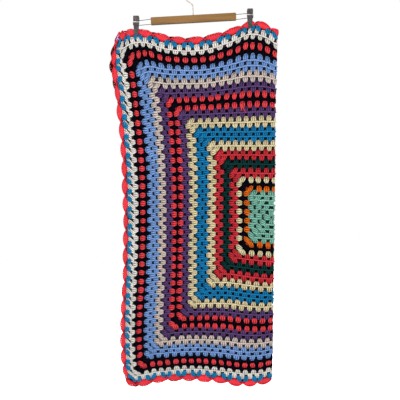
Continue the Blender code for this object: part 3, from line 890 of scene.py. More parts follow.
    def centre_ring(self) -> Patch:
        """The ring of posts that the first round is worked into.

        Returns:
            The ring, in across, up and height.
        """
        patch = Patch()
        for angle in np.arange(self.ring_posts) * 2 * math.pi / self.ring_posts:
            x, y = math.cos(angle), math.sin(angle)
            path = [(x * reach, y * reach, self.ring_height) for reach in self.ring_reaches]
            patch.twine(path, self.ring_widths, 5)
        return patch

    def hole_shade_sheet(self, name: str, drape: Drape, yarns: Sequence[Yarn]) -> bpy.types.Mesh:
        """A closed sheet of painted shade, seen only down the gaps between stitches, standing in for the
        shaded holes.

        Args:
            name: The mesh's name.
            drape: How it hangs.
            yarns: The yarns, in the order of the mesh's material slots. The last one
                is the edging's.

        Returns:
            The mesh, its faces set to the yarn of their round.
        """
        cell = Pattern.ROUND / 2
        half_cells = round(Pattern.BODY_HALF / cell) + 1
        lines = np.arange(-half_cells, half_cells + 1) * cell
        count = len(lines)
        across, up = (grid.reshape(-1) for grid in np.meshgrid(lines, lines))
        flat = np.stack([across, up, np.full(across.shape, -self.hole_shade_depth)], axis=1)
        points = drape.carry(drape.slid(flat))
        row, column = (grid.reshape(-1) for grid in np.indices((count - 1, count - 1)))
        first = row * count + column
        corners = np.stack([first, first + 1, first + count + 1, first + count], axis=1)
        middle = lines[:-1] + cell / 2
        ring = np.maximum(np.abs(middle[row]), np.abs(middle[column])) // Pattern.ROUND
        numbers = np.clip(ring, 1, Pattern.LAST_ROUND + 1).astype(int)
        slots = [yarns.index(self.hole_shade_yarn(n)) for n in range(1, Pattern.LAST_ROUND + 1)]
        slots.append(len(yarns) - 1)
        uvs = np.stack([across, up], axis=1)[corners.reshape(-1)] / MM
        mesh = filled_mesh(name, points, corners.reshape(-1), np.full(len(corners), 4), uvs)
        mesh.polygons.foreach_set("material_index", np.array(slots, np.int32)[numbers - 1])
        set_values(mesh, "tint", np.zeros(len(points)))
        # Painted shade: the sheet is near black, and half dark where the edging's ring lies.
        edge = np.maximum(np.abs(across), np.abs(up)) > Pattern.BODY_HALF - cell / 2
        set_values(mesh, "relief", np.where(edge, self.rim_relief, self.ground_relief))
        return mesh

    @staticmethod
    def hole_shade_yarn(number: int) -> Yarn:
        """The yarn of the painted-shade sheet at a round: black behind a round that stands alone.

        Args:
            number: The round.

        Returns:
            The yarn.
        """
        yarn = yarn_of_round(number)
        after = min(number + 1, Pattern.LAST_ROUND)
        beside = (yarn_of_round(max(number - 1, 1)), yarn_of_round(after))
        return yarn if yarn in beside else Yarn.BLACK


@dataclass
class ShellEdging:
    """Works the scalloped edging: a fan of posts for each shell, with a chain rim.

    The sequences are in millimetres, and shares are from a post's foot to its tip.
    loop follows one chain of the rim: the share of its step, how far in, and its height.
    """

    random: np.random.Generator
    arch_power: float = 0.7
    shares: Sequence[float] = (0.0, 0.3, 0.6, 0.85, 1.0)
    bow: Sequence[float] = (-0.2, 0.9, 1.3, 0.9, 0.2)
    thickness: Sequence[float] = (1.6, 2.6, 3.2, 3.3, 2.4)
    foot_gap: float = 0.1
    tip_gap: float = 2.4 * MM
    arching: float = 0.12
    fan_foot: float = -9.0 * MM
    corner_foot: float = -5.0 * MM
    fan_tips: Sequence[float] = (-21.5, -15.0, -7.8, 0.0, 7.8, 15.0, 21.5)
    tips_drawn_in: float = 0.96
    rim_stops: int = 10
    loop: Points = ((-0.3, 1.8, 0.4), (0.3, 1.6, 1.7), (0.75, 1.2, 1.7), (1.3, 1.6, 0.4))
    loop_widths: Sequence[float] = (1.5, 2.0, 2.0, 1.5)
    notch_path: Points = ((-24.0, 1.0, -0.4), (-24.0, 3.5, 0.4), (-24.0, 4.6, 0.4), (-24.0, 6.0, 0.0))
    notch_widths: Sequence[float] = (1.8, 2.6, 2.6, 1.8)
    base_chain: Points = (
        (-24.5, 3.4, 0.0), (-12.0, 2.6, 0.2), (0.0, 2.4, 0.2), (12.0, 2.6, 0.2), (24.5, 3.4, 0.0)
    )
    base_width: float = 2.2
    base_flatness: float = 0.7
    width_wobble: float = 0.015
    out_wobble: float = 0.05

    def reach(self, clockwise: Array) -> Array:
        """How far the edging reaches out at this place, clockwise along a side.

        Args:
            clockwise: Distances from the side's middle.

        Returns:
            Distances out from the edge of the body.
        """
        place = np.asarray(clockwise, float)
        first, last, width = Pattern.FIRST_NOTCH, Pattern.LAST_NOTCH, Pattern.SHELL_WIDTH
        share = np.mod((place - first) / width, 1.0)
        share = np.where(place < first, (first - place) / (width / 2), share)
        share = np.where(place > last, np.minimum((place - last) / width, 0.5), share)
        arch = np.sin(math.pi * share) ** self.arch_power
        return Pattern.SHELL_NOTCH + (Pattern.SHELL_TIP - Pattern.SHELL_NOTCH) * arch

    def fan(self, patch: Patch, foot: Array, tips: Array) -> None:
        """Adds the posts that fan out from a foot to the rim.

        Args:
            patch: What the posts are added to.
            foot: Where they start.
            tips: Where each of them ends.
        """
        shares = np.array(self.shares)
        width = np.array(self.thickness) * MM
        for tip in tips:
            start = foot + (tip - foot) * self.foot_gap
            end = tip - (tip - foot) / np.linalg.norm(tip - foot) * self.tip_gap
            path = start + (end - start) * shares[:, None]
            path[:, 1] += np.sin(shares * math.pi) * abs(end[0] - start[0]) * self.arching
            path = np.concatenate([path, np.array(self.bow)[:, None] * MM], axis=1)
            patch.add(Patch.strand(path, width, width, 5, float(tip[0])))

    def rim(self, patch: Patch, line: Array) -> None:
        """Adds the chain loops along the rim, between these flat points.

        Args:
            patch: What the loops are added to.
            line: The points, in order.
        """
        for start, end in zip(line[:-1], line[1:]):
            step = end - start
            out = np.array([-step[1], step[0]]) / np.linalg.norm(step)
            path = [
                (*((start + share * step) / MM - out * inside), height)
                for share, inside, height in self.loop
            ]
            patch.twine(path, self.loop_widths, 4)

    def side_shell(self) -> Patch:
        """One shell of a straight side, about the space that it is worked into.

        Returns:
            The shell, in along, out and height.
        """
        patch = Patch()
        half = Pattern.SHELL_WIDTH / 2
        middle = Pattern.FIRST_NOTCH + half
        reaches = np.array(self.fan_tips) * MM
        tips = np.stack([reaches, self.reach(middle + reaches * self.tips_drawn_in)], axis=1)
        self.fan(patch, np.array([0.0, self.fan_foot]), tips)
        stops = np.linspace(-half, half, self.rim_stops)
        edge = self.reach(middle + stops * 0.9999)  # just inside the notches
        self.rim(patch, np.stack([stops, edge], axis=1))
        patch.twine(self.notch_path, self.notch_widths, 5)
        patch.twine(self.base_chain, [self.base_width] * len(self.base_chain), 5, self.base_flatness)
        return patch

    def corner_shell(self) -> Patch:
        """The shell that turns the top right corner, about that corner.

        Returns:
            The shell, in along, out and height.
        """
        patch = Patch()
        half = Pattern.BODY_HALF
        before = np.linspace(Pattern.LAST_NOTCH, half, 7)
        after = np.linspace(-half, Pattern.FIRST_NOTCH, 4)
        turn = np.radians(np.linspace(75, 15, 5))
        line = np.concatenate(
            [
                np.stack([before - half, self.reach(before)], axis=1),
                np.stack([np.cos(turn), np.sin(turn)], axis=1) * Pattern.SHELL_TIP,
                np.stack([self.reach(after), -(after + half)], axis=1),
            ]
        )
        self.rim(patch, line)
        foot = np.array([self.corner_foot, self.corner_foot])
        self.fan(patch, foot, line[1:14:2])
        return patch

    def stitches(self) -> Dict[str, Stitches]:
        """All the shells, of the sides and of the corners.

        Returns:
            The copies of each kind of shell, by the name of the piece.
        """
        straight, turning = Stitches(self.side_shell()), Stitches(self.corner_shell())
        middles = np.arange(
            Pattern.FIRST_NOTCH + Pattern.SHELL_WIDTH / 2, Pattern.LAST_NOTCH, Pattern.SHELL_WIDTH
        )
        base, bend = np.array(straight.patch.points), np.array(turning.patch.points)
        for side in SIDES:
            wobble = self.random.normal(size=(3, len(middles), 1))
            along = base[None, :, 0] * (1 + self.width_wobble * wobble[0]) + middles[:, None]
            out = base[None, :, 1] * (1 + self.out_wobble * wobble[1]) + Pattern.BODY_HALF
            height = np.repeat(base[None, :, 2], len(middles), axis=0)
            straight.add(side.flat(along, out, height), wobble[2, :, 0])
            along, out = bend[None, :, 0], bend[None, :, 1]
            flat = side.flat(along + Pattern.BODY_HALF, out + Pattern.BODY_HALF, bend[None, :, 2])
            turning.add(flat, self.random.normal(size=1))
        return {"shells": straight, "corner_shells": turning}


# Materials.


class Nodes:
    """Adds and links the nodes of one tree."""

    def __init__(self, tree: bpy.types.NodeTree) -> None:
        self.tree = tree

    def new(self, kind: str, **inputs: object) -> bpy.types.Node:
        """Adds a node and sets its named inputs, by value or by a socket to link.

        Args:
            kind: The node's type.
            inputs: Its inputs, by name.

        Returns:
            The node.
        """
        node = self.tree.nodes.new(kind)
        self.fill(node, **inputs)
        return node

    def fill(self, node: bpy.types.Node, **inputs: object) -> None:
        """Sets or links named inputs of a node, an underscore standing for a space."""
        for name, value in inputs.items():
            self.set(node, name.replace("_", " "), value)

    def set(self, node: bpy.types.Node, name: object, value: object) -> None:
        """Sets or links one input of a node.

        Args:
            node: The node.
            name: The input's name or number.
            value: A value, or a socket to link.
        """
        socket = node.inputs[name]
        if isinstance(value, Socket):
            self.tree.links.new(value, socket)
        else:
            socket.default_value = value

    def math(self, operation: str, *values: object) -> Socket:
        """A Math node on these values or sockets.

        Args:
            operation: What it does.
            values: Its inputs.

        Returns:
            Its result.
        """
        node = self.tree.nodes.new("ShaderNodeMath")
        node.operation = operation
        for index, value in enumerate(values):
            self.set(node, index, value)
        return node.outputs[0]

    def product(self, *values: object) -> Socket:
        """The product of these values or sockets.

        Args:
            values: What is multiplied.

        Returns:
            The product.
        """
        made = values[0]
        for value in values[1:]:
            made = self.math("MULTIPLY", made, value)
        return made

    def spread(self, value: object, low: float, high: float, to_low: float, to_high: float) -> Socket:
        """A value mapped smoothly from one range to another.

        Args:
            value: What is mapped.
            low: Where the first range starts.
            high: Where it ends.
            to_low: The result at low.
            to_high: The result at high.

        Returns:
            The mapped value.
        """
        node = self.tree.nodes.new("ShaderNodeMapRange")
        node.interpolation_type = "SMOOTHSTEP"
        for index, item in enumerate((value, low, high, to_low, to_high)):
            self.set(node, index, item)
        return node.outputs[0]

    def mix(self, share: object, first: object, second: object, blend: str = "MIX") -> Socket:
        """Two colours mixed by a share. A plain colour is three numbers.

        Args:
            share: The share of the second colour.
            first: A socket or three numbers.
            second: The same.
            blend: How they are blended.

        Returns:
            The mixed colour.
        """
        node = self.tree.nodes.new("ShaderNodeMix")
        node.data_type = "RGBA"
        node.blend_type = blend
        self.set(node, 0, share)
        for index, colour in ((6, first), (7, second)):
            self.set(node, index, (*colour, 1.0) if isinstance(colour, tuple) else colour)
        return node.outputs[2]

    def attribute(self, name: str) -> Socket:
        """A number stored on the mesh.

        Args:
            name: Its name on the mesh.

        Returns:
            The number.
        """
        node = self.tree.nodes.new("ShaderNodeAttribute")
        node.attribute_name = name
        return node.outputs["Fac"]

    def place(self) -> Socket:
        """The place on the piece, which rides with it."""
        return self.new("ShaderNodeTexCoord").outputs["Object"]

    def noise(self, where: Socket, scale: float, detail: float, **more: float) -> Socket:
        """The strength of a noise at a place."""
        node = self.new("ShaderNodeTexNoise", Vector=where, Scale=scale, Detail=detail, **more)
        return node.outputs["Fac"]

    def stretched(self, where: Socket, scale: Triple, tilt: float = 0.0) -> Socket:
        """A place turned about Y and stretched, for what runs one way."""
        node = self.new("ShaderNodeMapping", Vector=where, Rotation=(0.0, tilt, 0.0), Scale=scale)
        return node.outputs["Vector"]

    def group(self, tree: bpy.types.NodeTree, **inputs: object) -> bpy.types.Node:
        """Places a node group and sets its inputs.

        Args:
            tree: The group.
            inputs: Its inputs, by name.

        Returns:
            The node.
        """
        node = self.tree.nodes.new("ShaderNodeGroup")
        node.node_tree = tree
        self.fill(node, **inputs)
        return node

    def bump(self, height: Socket, strength: float, distance: float) -> Socket:
        """The normal of a surface with this height."""
        node = self.new("ShaderNodeBump", Strength=strength, Distance=distance, Height=height)
        return node.outputs["Normal"]


def new_material(name: str) -> Tuple[bpy.types.Material, Nodes, bpy.types.Node]:
    """A new material, with its nodes and its shader.

    Args:
        name: The material's name.

    Returns:
        The three of them.
    """
    material = bpy.data.materials.new(name)
    material.use_nodes = True
    return material, Nodes(material.node_tree), material.node_tree.nodes["Principled BSDF"]


def new_group(name: str, inputs: Dict[str, str], outputs: Dict[str, str]) -> bpy.types.NodeTree:
    """A new node group.

    Args:
        name: The group's name.
        inputs: The kind of each input, by its name.
        outputs: The kind of each output, by its name.

    Returns:
        The group, with no nodes yet.
    """
    tree = bpy.data.node_groups.new(name, "ShaderNodeTree")
    for way, sockets in (("INPUT", inputs), ("OUTPUT", outputs)):
        for socket, kind in sockets.items():
            tree.interface.new_socket(socket, in_out=way, socket_type=f"NodeSocket{kind}")
    return tree


class PliedYarn:
    """Matt plied yarn: one material for each colour, on a shared node group."""

    def __init__(self) -> None:
        self.group = self._group()
        self.made: Dict[Yarn, bpy.types.Material] = {}

    @staticmethod
    def _group() -> bpy.types.NodeTree:
        """Plied yarn: its colour with fibres, painted shade in creases and low places, a painted
        highlight on crests, and its normal.

        Returns:
            The group, with a yarn colour in, and a colour and a normal out.
        """
        tree = new_group("plied_yarn", {"Yarn": "Color"}, {"Color": "Color", "Normal": "Vector"})
        nodes = Nodes(tree)
        given = nodes.new("NodeGroupInput").outputs["Yarn"]
        where = nodes.new("ShaderNodeTexCoord")
        yarn = nodes.new("ShaderNodeSeparateXYZ", Vector=where.outputs["UV"])
        along, around = nodes.product(yarn.outputs["X"], 0.30), nodes.product(yarn.outputs["Y"], 2.0)
        phase = nodes.math("ADD", along, around)
        ply = nodes.math("ABSOLUTE", nodes.math("SINE", nodes.product(phase, math.pi)))
        fibre = nodes.noise(where.outputs["Object"], 620.0, 3.0)
        blotch = nodes.noise(where.outputs["Object"], 46.0, 2.0)
        tint, relief = nodes.attribute("tint"), nodes.attribute("relief")
        # Painted shade: the creases between the plies and the low places between stitches darken the
        # colour.
        crease_shade = nodes.spread(ply, 0.0, 0.6, 0.42, 1.0)
        light = nodes.product(
            crease_shade,
            nodes.spread(relief, -2.0, 4.2, 0.04, 1.0),
            nodes.spread(fibre, 0.3, 0.7, 0.82, 1.1),
            nodes.spread(blotch, 0.3, 0.7, 0.9, 1.06),
            nodes.math("ADD", 1.0, nodes.product(tint, 0.05)),
        )
        shade = nodes.new("ShaderNodeCombineColor", Red=light, Green=light, Blue=light)
        colour = nodes.mix(1.0, given, shade.outputs["Color"], "MULTIPLY")
        # Painted highlight: the highest strands are mixed towards a paler colour.
        highlight_colour = nodes.new("ShaderNodeGamma", Color=given, Gamma=0.6).outputs["Color"]
        crest_highlight = nodes.spread(relief, 1.5, 4.5, 0.0, 0.15)
        colour = nodes.mix(nodes.product(crest_highlight, crease_shade), colour, highlight_colour)
        height = nodes.math("ADD", nodes.product(ply, 0.75), nodes.product(fibre, 0.5))
        nodes.new("NodeGroupOutput", Color=colour, Normal=nodes.bump(height, 0.6, 0.7 * MM))
        return tree

    def material(self, yarn: Yarn) -> bpy.types.Material:
        """The material of one yarn.

        Args:
            yarn: The yarn.

        Returns:
            The material, made once for each yarn.
        """
        if yarn not in self.made:
            material, nodes, shader = new_material(f"yarn_{yarn.name.lower()}")
            group = nodes.group(self.group, Yarn=(*yarn.linear, 1.0))
            nodes.fill(
                shader,
                Base_Color=group.outputs["Color"],
                Normal=group.outputs["Normal"],
                Roughness=0.85,
                Specular_IOR_Level=0.03,
                Sheen_Weight=0.06,
                Sheen_Tint=(*(0.03 + 0.9 * c for c in yarn.linear), 1.0),
                Sheen_Roughness=0.5,
            )
            self.made[yarn] = material
        return self.made[yarn]

@dataclass(frozen=True)
class VarnishedWood:
    """Honey-brown wood, its grain along the tilted bar, and painted shade darkening faces that look down.
    """

    tilt: float
    grain: Triple = (5.0, 90.0, 90.0)
    pores: Triple = (30.0, 900.0, 900.0)
    dark: Triple = (0.130, 0.066, 0.014)
    pale: Triple = (0.215, 0.108, 0.028)
    fleck: Triple = (0.11, 0.05, 0.02)
    # Painted shade: the dark brown of the faces that look down.
    underside_shade: Triple = (0.045, 0.011, 0.003)

    def material(self) -> bpy.types.Material:
        """The material.

        Returns:
            It, with its grain turned about Y by the tilt.
        """
        material, nodes, shader = new_material("varnished_wood")
        where = nodes.place()
        grain = nodes.noise(nodes.stretched(where, self.grain, self.tilt), 1.0, 5.0, Distortion=0.4)
        pore = nodes.noise(nodes.stretched(where, self.pores, self.tilt), 1.0, 2.0)
        colour = nodes.mix(nodes.spread(grain, 0.3, 0.7, 0.0, 1.0), self.dark, self.pale)
        colour = nodes.mix(nodes.spread(pore, 0.55, 0.75, 0.0, 0.35), colour, self.fleck)
        # Painted shade: faces that look down are mixed towards a dark brown, as if the light from above
        # left them in shade.
        normal = nodes.new("ShaderNodeNewGeometry").outputs["Normal"]
        facing = nodes.new("ShaderNodeSeparateXYZ", Vector=normal)
        under = nodes.spread(facing.outputs["Z"], -0.75, -0.45, 1.0, 0.0)
        nodes.fill(
            shader,
            Base_Color=nodes.mix(under, colour, self.underside_shade),
            Roughness=nodes.spread(grain, 0.3, 0.7, 0.42, 0.55),
            Normal=nodes.bump(pore, 0.15, 0.2 * MM),
            Specular_IOR_Level=0.2,
            Coat_Weight=0.08,
            Coat_Roughness=0.3,
        )
        return material


class PlatedSteel:
    """Plated steel with fine scratches and slight tarnish, on a shared node group."""

    SCRATCH_RUN = (900.0, 900.0, 60.0)
    SCRATCH_ROUGH = 0.16
    TARNISH = 0.6

    def __init__(self) -> None:
        self.group = self._group()

    def _group(self) -> bpy.types.NodeTree:
        """The look of worn plating: its colour with stains, its roughness and its normal.

        Returns:
            The group, with two colours and two roughnesses in.
        """
        tree = new_group(
            "worn_plating",
            {"Clean": "Color", "Tarnished": "Color", "Smooth": "Float", "Scratched": "Float"},
            {"Color": "Color", "Roughness": "Float", "Normal": "Vector"},
        )
        nodes = Nodes(tree)
        given = nodes.new("NodeGroupInput").outputs
        where = nodes.place()
        scratch = nodes.noise(nodes.stretched(where, self.SCRATCH_RUN), 1.0, 3.0)
        stain = nodes.spread(nodes.noise(where, 140.0, 3.0), 0.35, 0.7, 0.0, 1.0)
        nodes.new(
            "NodeGroupOutput",
            Color=nodes.mix(stain, given["Clean"], given["Tarnished"]),
            Roughness=nodes.spread(scratch, 0.3, 0.7, given["Smooth"], given["Scratched"]),
            Normal=nodes.bump(scratch, 0.12, 0.1 * MM),
        )
        return tree

    def material(self, name: str, colour: Triple, rough: float) -> bpy.types.Material:
        """The material of one steel.

        Args:
            name: The material's name.
            colour: Its colour where it is clean.
            rough: Its roughness where it isn't scratched.

        Returns:
            The material.
        """
        material, nodes, shader = new_material(name)
        group = nodes.group(
            self.group,
            Clean=(*colour, 1.0),
            Tarnished=(*(self.TARNISH * c for c in colour), 1.0),
            Smooth=rough,
            Scratched=rough + self.SCRATCH_ROUGH,
        )
        looks = {name: group.outputs[name] for name in ("Roughness", "Normal")}
        nodes.fill(shader, Base_Color=group.outputs["Color"], Metallic=1.0, **looks)
        return material


# The picture.


@dataclass(frozen=True)
class Studio:
    """A plain pale floor, soft lights and the camera. A light has its place, size and power."""

    aim: Triple = (25.9 * MM, 0.0, -667.1 * MM)
    distance: float = 3.2
    frame_width: float = 1.264
    sensor_mm: float = 36.0
    floor_z: float = -1.45
    floor_radius: float = 9.0
    key: Tuple[Triple, float, float] = ((-1.1, -2.6, 0.9), 2.0, 44.0)
    fill: Tuple[Triple, float, float] = ((1.8, -2.4, -0.6), 2.0, 8.0)
    back: Tuple[Triple, float, float] = ((0.2, 2.6, 0.6), 2.2, 30.0)

    def build(self) -> None:
        """Adds the floor, the lights, the world and the camera."""
        self._floor()
        self._world()
        for name in ("key", "fill", "back"):
            self._light(name, *getattr(self, name))
        camera = bpy.data.cameras.new("camera")
        camera.sensor_width = self.sensor_mm
        camera.lens = self.sensor_mm * self.distance / self.frame_width
        view = bpy.data.objects.new("camera", camera)
        view.location = (self.aim[0], self.aim[1] - self.distance, self.aim[2])
        view.rotation_euler = (math.pi / 2, 0.0, 0.0)
        bpy.context.scene.collection.objects.link(view)
        bpy.context.scene.camera = view
        bpy.context.scene.view_settings.view_transform = "Standard"

    def _floor(self) -> None:
        """The floor, a wide disc."""
        bpy.ops.mesh.primitive_circle_add(
            vertices=96, radius=self.floor_radius, fill_type="NGON", location=(0.0, 0.0, self.floor_z)
        )
        floor = bpy.context.active_object
        floor.name = "studio_floor"
        material, nodes, shader = new_material("pale_floor")
        cloud = nodes.noise(nodes.place(), 3.0, 3.0)
        nodes.fill(
            shader,
            Base_Color=nodes.mix(cloud, (0.80, 0.80, 0.80), (0.84, 0.84, 0.84)),
            Roughness=0.9,
            Emission_Color=(1.0, 1.0, 1.0, 1.0),
            Emission_Strength=0.62,
        )
        floor.data.materials.append(material)

    @staticmethod
    def _world() -> None:
        """White all round."""
        world = bpy.data.worlds.new("studio")
        bpy.context.scene.world = world
        world.use_nodes = True
        background = world.node_tree.nodes["Background"]
        Nodes(world.node_tree).fill(background, Color=(1.0, 1.0, 1.0, 1.0), Strength=1.0)

    def _light(self, name: str, place: Triple, size: float, power: float) -> None:
        """A square soft light that faces the object.

        Args:
            name: The light's name.
            place: Where it stands.
            size: Its width.
            power: Its power in watts.
        """
        light = bpy.data.lights.new(name, "AREA")
        light.size = size
        light.energy = power
        lamp = bpy.data.objects.new(name, light)
        lamp.location = place
        lamp.rotation_euler = (Vector(self.aim) - Vector(place)).to_track_quat("-Z", "Y").to_euler()
        bpy.context.scene.collection.objects.link(lamp)


@dataclass(frozen=True)
class LooseYarn:
    """The loose tail of coral yarn on the front, and the lilac knot at a corner.

    Paths are across, up and height, and knot strands start and end, in millimetres.
    """

    tail: Sequence[Points] = (
        ((-87.0, 292.0, 4.2), (-84.0, 287.0, 6.0), (-81.0, 281.0, 6.2), (-73.5, 271.0, 5.4)),
        ((-87.0, 291.0, 4.2), (-87.5, 284.0, 5.8), (-86.0, 278.0, 5.8), (-84.5, 275.0, 5.2)),
    )
    tail_widths: Sequence[float] = (1.6, 1.5, 1.3, 0.8)
    knot: Sequence[Tuple[Tuple[float, float], Tuple[float, float]]] = (
        ((-489.0, 489.0), (-468.0, 477.0)),
        ((-487.0, 478.0), (-472.0, 490.0)),
        ((-482.0, 475.0), (-478.0, 491.0)),
    )
    knot_heights: Tuple[float, float] = (3.0, 6.8)
    knot_widths: Sequence[float] = (1.3, 2.0, 1.3)

    def tail_patch(self) -> Patch:
        """The two ends of the tail.

        Returns:
            The tail, in across, up and height.
        """
        patch = Patch()
        for path in self.tail:
            patch.twine(path, self.tail_widths, 5)
        return patch

    def knot_patch(self) -> Patch:
        """The strands of the knot, each bowed out over its middle.

        Returns:
            The knot, in across, up and height.
        """
        patch = Patch()
        low, high = self.knot_heights
        for start, end in self.knot:
            middle = (np.array(start) + np.array(end)) / 2
            patch.twine([(*start, low), (*middle, high), (*end, low)], self.knot_widths, 5)
        return patch


@dataclass(frozen=True)
class ClipTrim:
    """The ribs that a finger grips on each clip, and the bright rod that it turns on.

    Lengths down are from the top of the front plate, and lengths out are towards the
    viewer from the middle of the cloth.
    """

    cloth_in: float = 11.6 * MM
    ribs_down: Sequence[float] = (3.4, 6.2, 9.0, 11.8, 14.6)
    rib_size: Triple = (16.5 * MM, 1.4 * MM, 1.3 * MM)
    rib_proud: float = 0.3 * MM
    plate_out: float = 10.6
    plate_bend: float = 4.0
    plate_slope: float = 0.208
    rod_radius: float = 1.9 * MM
    rod_length: float = 19.6 * MM
    rod_out: float = 8.6 * MM
    rod_down: float = 19.4 * MM
    edge_radius: float = 0.35 * MM

    def build(self, side: str, steel: bpy.types.Material, bright: bpy.types.Material) -> None:
        """Adds one clip's ribs and rod.

        Args:
            side: Which clip, left or right.
            steel: The ribs' finish.
            bright: The rod's finish.
        """
        low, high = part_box(f"clip_{side}_front")
        middle_x, cloth_y = (low[0] + high[0]) / 2, low[1] + self.cloth_in
        ribs = []
        for down in self.ribs_down:
            out = self.plate_out - max(down - self.plate_bend, 0.0) * self.plate_slope
            place = (middle_x, cloth_y - out * MM - self.rib_proud, high[2] - down * MM)
            bpy.ops.mesh.primitive_cube_add(size=1.0, location=place)
            rib = bpy.context.active_object
            rib.scale = self.rib_size
            ribs.append(rib)
        bpy.ops.object.select_all(action="DESELECT")
        for rib in ribs:
            rib.select_set(True)
        bpy.context.view_layer.objects.active = ribs[0]
        bpy.ops.object.join()
        self.finish(f"clip_{side}_ribs", steel)
        bpy.ops.mesh.primitive_cylinder_add(
            vertices=20,
            radius=self.rod_radius,
            depth=self.rod_length,
            location=(middle_x, cloth_y - self.rod_out, high[2] - self.rod_down),
            rotation=(0.0, math.pi / 2, 0.0),
        )
        self.finish(f"clip_{side}_rod", bright)

    def finish(self, name: str, finish: bpy.types.Material) -> None:
        """Sets the new steel piece in place with rounded edges, riding with the model.

        Args:
            name: The piece's name.
            finish: Its material.
        """
        piece = bpy.context.active_object
        piece.name = name
        bpy.ops.object.select_all(action="DESELECT")
        piece.select_set(True)
        bpy.ops.object.transform_apply(location=True, rotation=True, scale=True)
        bevel = piece.modifiers.new("edges", "BEVEL")
        bevel.width, bevel.segments = self.edge_radius, 2
        bpy.ops.object.modifier_apply(modifier="edges")
        bpy.ops.object.shade_smooth()
        piece.data.materials.append(finish)
        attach(piece, "root")
        LOG.info("%s: %d faces", name, len(piece.data.polygons))


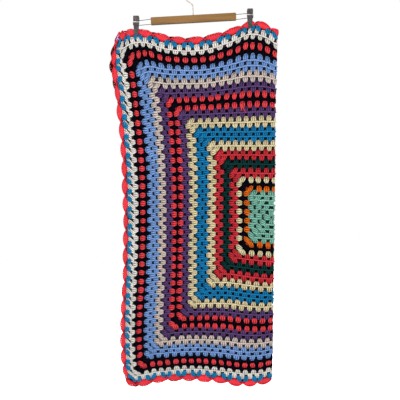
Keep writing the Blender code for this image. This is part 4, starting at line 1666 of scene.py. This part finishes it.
class Dresser:
    """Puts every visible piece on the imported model."""

    SEED = 40
    BAR_TILT = math.radians(3.2)

    def __init__(self) -> None:
        self.drape = Drape()
        self.random = np.random.default_rng(self.SEED)
        self.yarns = PliedYarn()
        self.shape = ClusterShape()

    def add(self, name: str, mesh: bpy.types.Mesh, slot: str) -> bpy.types.Object:
        """Links a piece that rides with the model.

        Args:
            name: The piece's name.
            mesh: Its mesh.
            slot: Not used.

        Returns:
            The piece.
        """
        piece = bpy.data.objects.new(name, mesh)
        bpy.context.scene.collection.objects.link(piece)
        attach(piece, "root")
        LOG.info("%s: %d faces", name, len(mesh.polygons))
        return piece

    def dress_body(self) -> Tuple[bpy.types.Object, List[bpy.types.Object]]:
        """The sheet of painted shade behind the stitches, and the stitches of each yarn.

        Returns:
            The painted-shade sheet, and the pieces of stitches.
        """
        square = GrannySquare(self.shape, self.random)
        yarns = list(dict.fromkeys(yarn for yarn, _ in BANDS)) + [Yarn.EDGING]
        mesh = square.hole_shade_sheet("afghan_hole_shade", self.drape, yarns)
        for yarn in yarns:
            mesh.materials.append(self.yarns.material(yarn))
        # cloth is the sheet of painted shade behind the stitches.
        cloth = self.add("afghan_hole_shade", mesh, "rainbow_yarn")
        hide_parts("afghan")
        cluster, ridge = self.shape.patch(), square.ridge_stitch()
        worked: Dict[Yarn, Stitches] = {}
        ridges: Dict[Yarn, Stitches] = {}
        for number in range(1, Pattern.LAST_ROUND + 1):
            flat, tints = square.work_round(cluster, number)
            if number < Pattern.LAST_ROUND:
                flat = self.slid(flat)
            worked.setdefault(yarn_of_round(number), Stitches(cluster)).add(flat, tints)
        for number in range(1, Pattern.LAST_ROUND):
            yarn = yarn_of_round(number)
            if yarn_of_round(number + 1) is yarn:
                flat, tints = square.work_ridge(ridge, number)
                ridges.setdefault(yarn, Stitches(ridge)).add(self.slid(flat), tints)
        ring = square.centre_ring()
        pieces = [self.add_single("centre_ring", ring, np.array(ring.points), Yarn.MINT)]
        for kind, made in (("stitches", worked), ("ridges", ridges)):
            for yarn, stitches in made.items():
                name = f"{kind}_{yarn.name.lower()}"
                pieces.append(self.add_yarn(name, stitches, yarn, "rainbow_yarn"))
        return cloth, pieces

    def slid(self, flat: Array) -> Array:
        """Copies of stitches, moved along the cloth as its weight pulls them."""
        return self.drape.slid(flat.reshape(-1, 3)).reshape(flat.shape)

    def add_yarn(self, name: str, worked: Stitches, yarn: Yarn, slot: str) -> bpy.types.Object:
        """Hangs worked stitches as one piece in their yarn.

        Args:
            name: The piece's name.
            worked: The stitches.
            yarn: What they are worked in.
            slot: The piece's material slot.

        Returns:
            The piece.
        """
        mesh = worked.mesh(name, self.drape)
        mesh.materials.append(self.yarns.material(yarn))
        return self.add(name, mesh, slot)

    def dress_edging(self) -> List[bpy.types.Object]:
        """The shells of the edging.

        Returns:
            Its two pieces.
        """
        pieces = []
        for name, worked in ShellEdging(self.random).stitches().items():
            piece = self.add_yarn(name, worked, Yarn.EDGING, "coral_yarn")
            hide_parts("edging")
            pieces.append(piece)
        return pieces

    def add_single(self, name: str, patch: Patch, flat: Array, yarn: Yarn) -> bpy.types.Object:
        """Hangs one patch of yarn with its points at these flat places."""
        worked = Stitches(patch, [flat[None]], [np.zeros(1)])
        return self.add_yarn(name, worked, yarn, "rainbow_yarn")

    def dress_ends(self) -> List[bpy.types.Object]:
        """The loose tail and the knot.

        Returns:
            Their two pieces.
        """
        tail, knot = LooseYarn().tail_patch(), LooseYarn().knot_patch()
        return [
            self.add_single("coral_tail", tail, self.slid(np.array(tail.points)), Yarn.CORAL),
            self.add_single("lilac_knot", knot, np.array(knot.points), Yarn.LILAC),
        ]

    def dress_hanger(self, nodes: Dict[str, bpy.types.Object]) -> None:
        """Gives the hanger's solids their materials, and each clip its ribs and rod.

        Args:
            nodes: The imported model's solids, by name.
        """
        metal = PlatedSteel().material
        wood = VarnishedWood(self.BAR_TILT).material()
        steel = metal("clip_steel", (0.078, 0.066, 0.067), 0.40)
        hook = metal("hook_wire", (0.55, 0.50, 0.43), 0.28)
        wire = metal("clip_wire", (0.075, 0.05, 0.04), 0.34)
        finishes = {name: steel for name in nodes if name.startswith("clip_")}
        finishes.update(hanger_bar=wood, hook=hook, clip_wire_left=wire, clip_wire_right=wire)
        for name, finish in finishes.items():
            for slot in nodes[name].material_slots:
                slot.material = finish
        rib_steel = metal("rib_steel", (0.16, 0.14, 0.14), 0.36)
        bright = metal("rod_steel", (0.50, 0.48, 0.46), 0.22)
        for side in ("left", "right"):
            ClipTrim().build(side, rib_steel, bright)

    def dress(self, nodes: Dict[str, bpy.types.Object]) -> None:
        """Args:
            nodes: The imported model's solids, by name.
        """
        # cloth is the sheet of painted shade behind the stitches.
        cloth, pieces = self.dress_body()
        pieces += self.dress_edging()
        pieces += self.dress_ends()
        self.dress_hanger(nodes)


def main() -> None:
    """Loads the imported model, dresses it and sets up its picture."""
    logging.basicConfig(level=logging.INFO)
    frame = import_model()
    Dresser().dress(frame["nodes"])
    Studio().build()


if __name__ == "__main__":
    main()
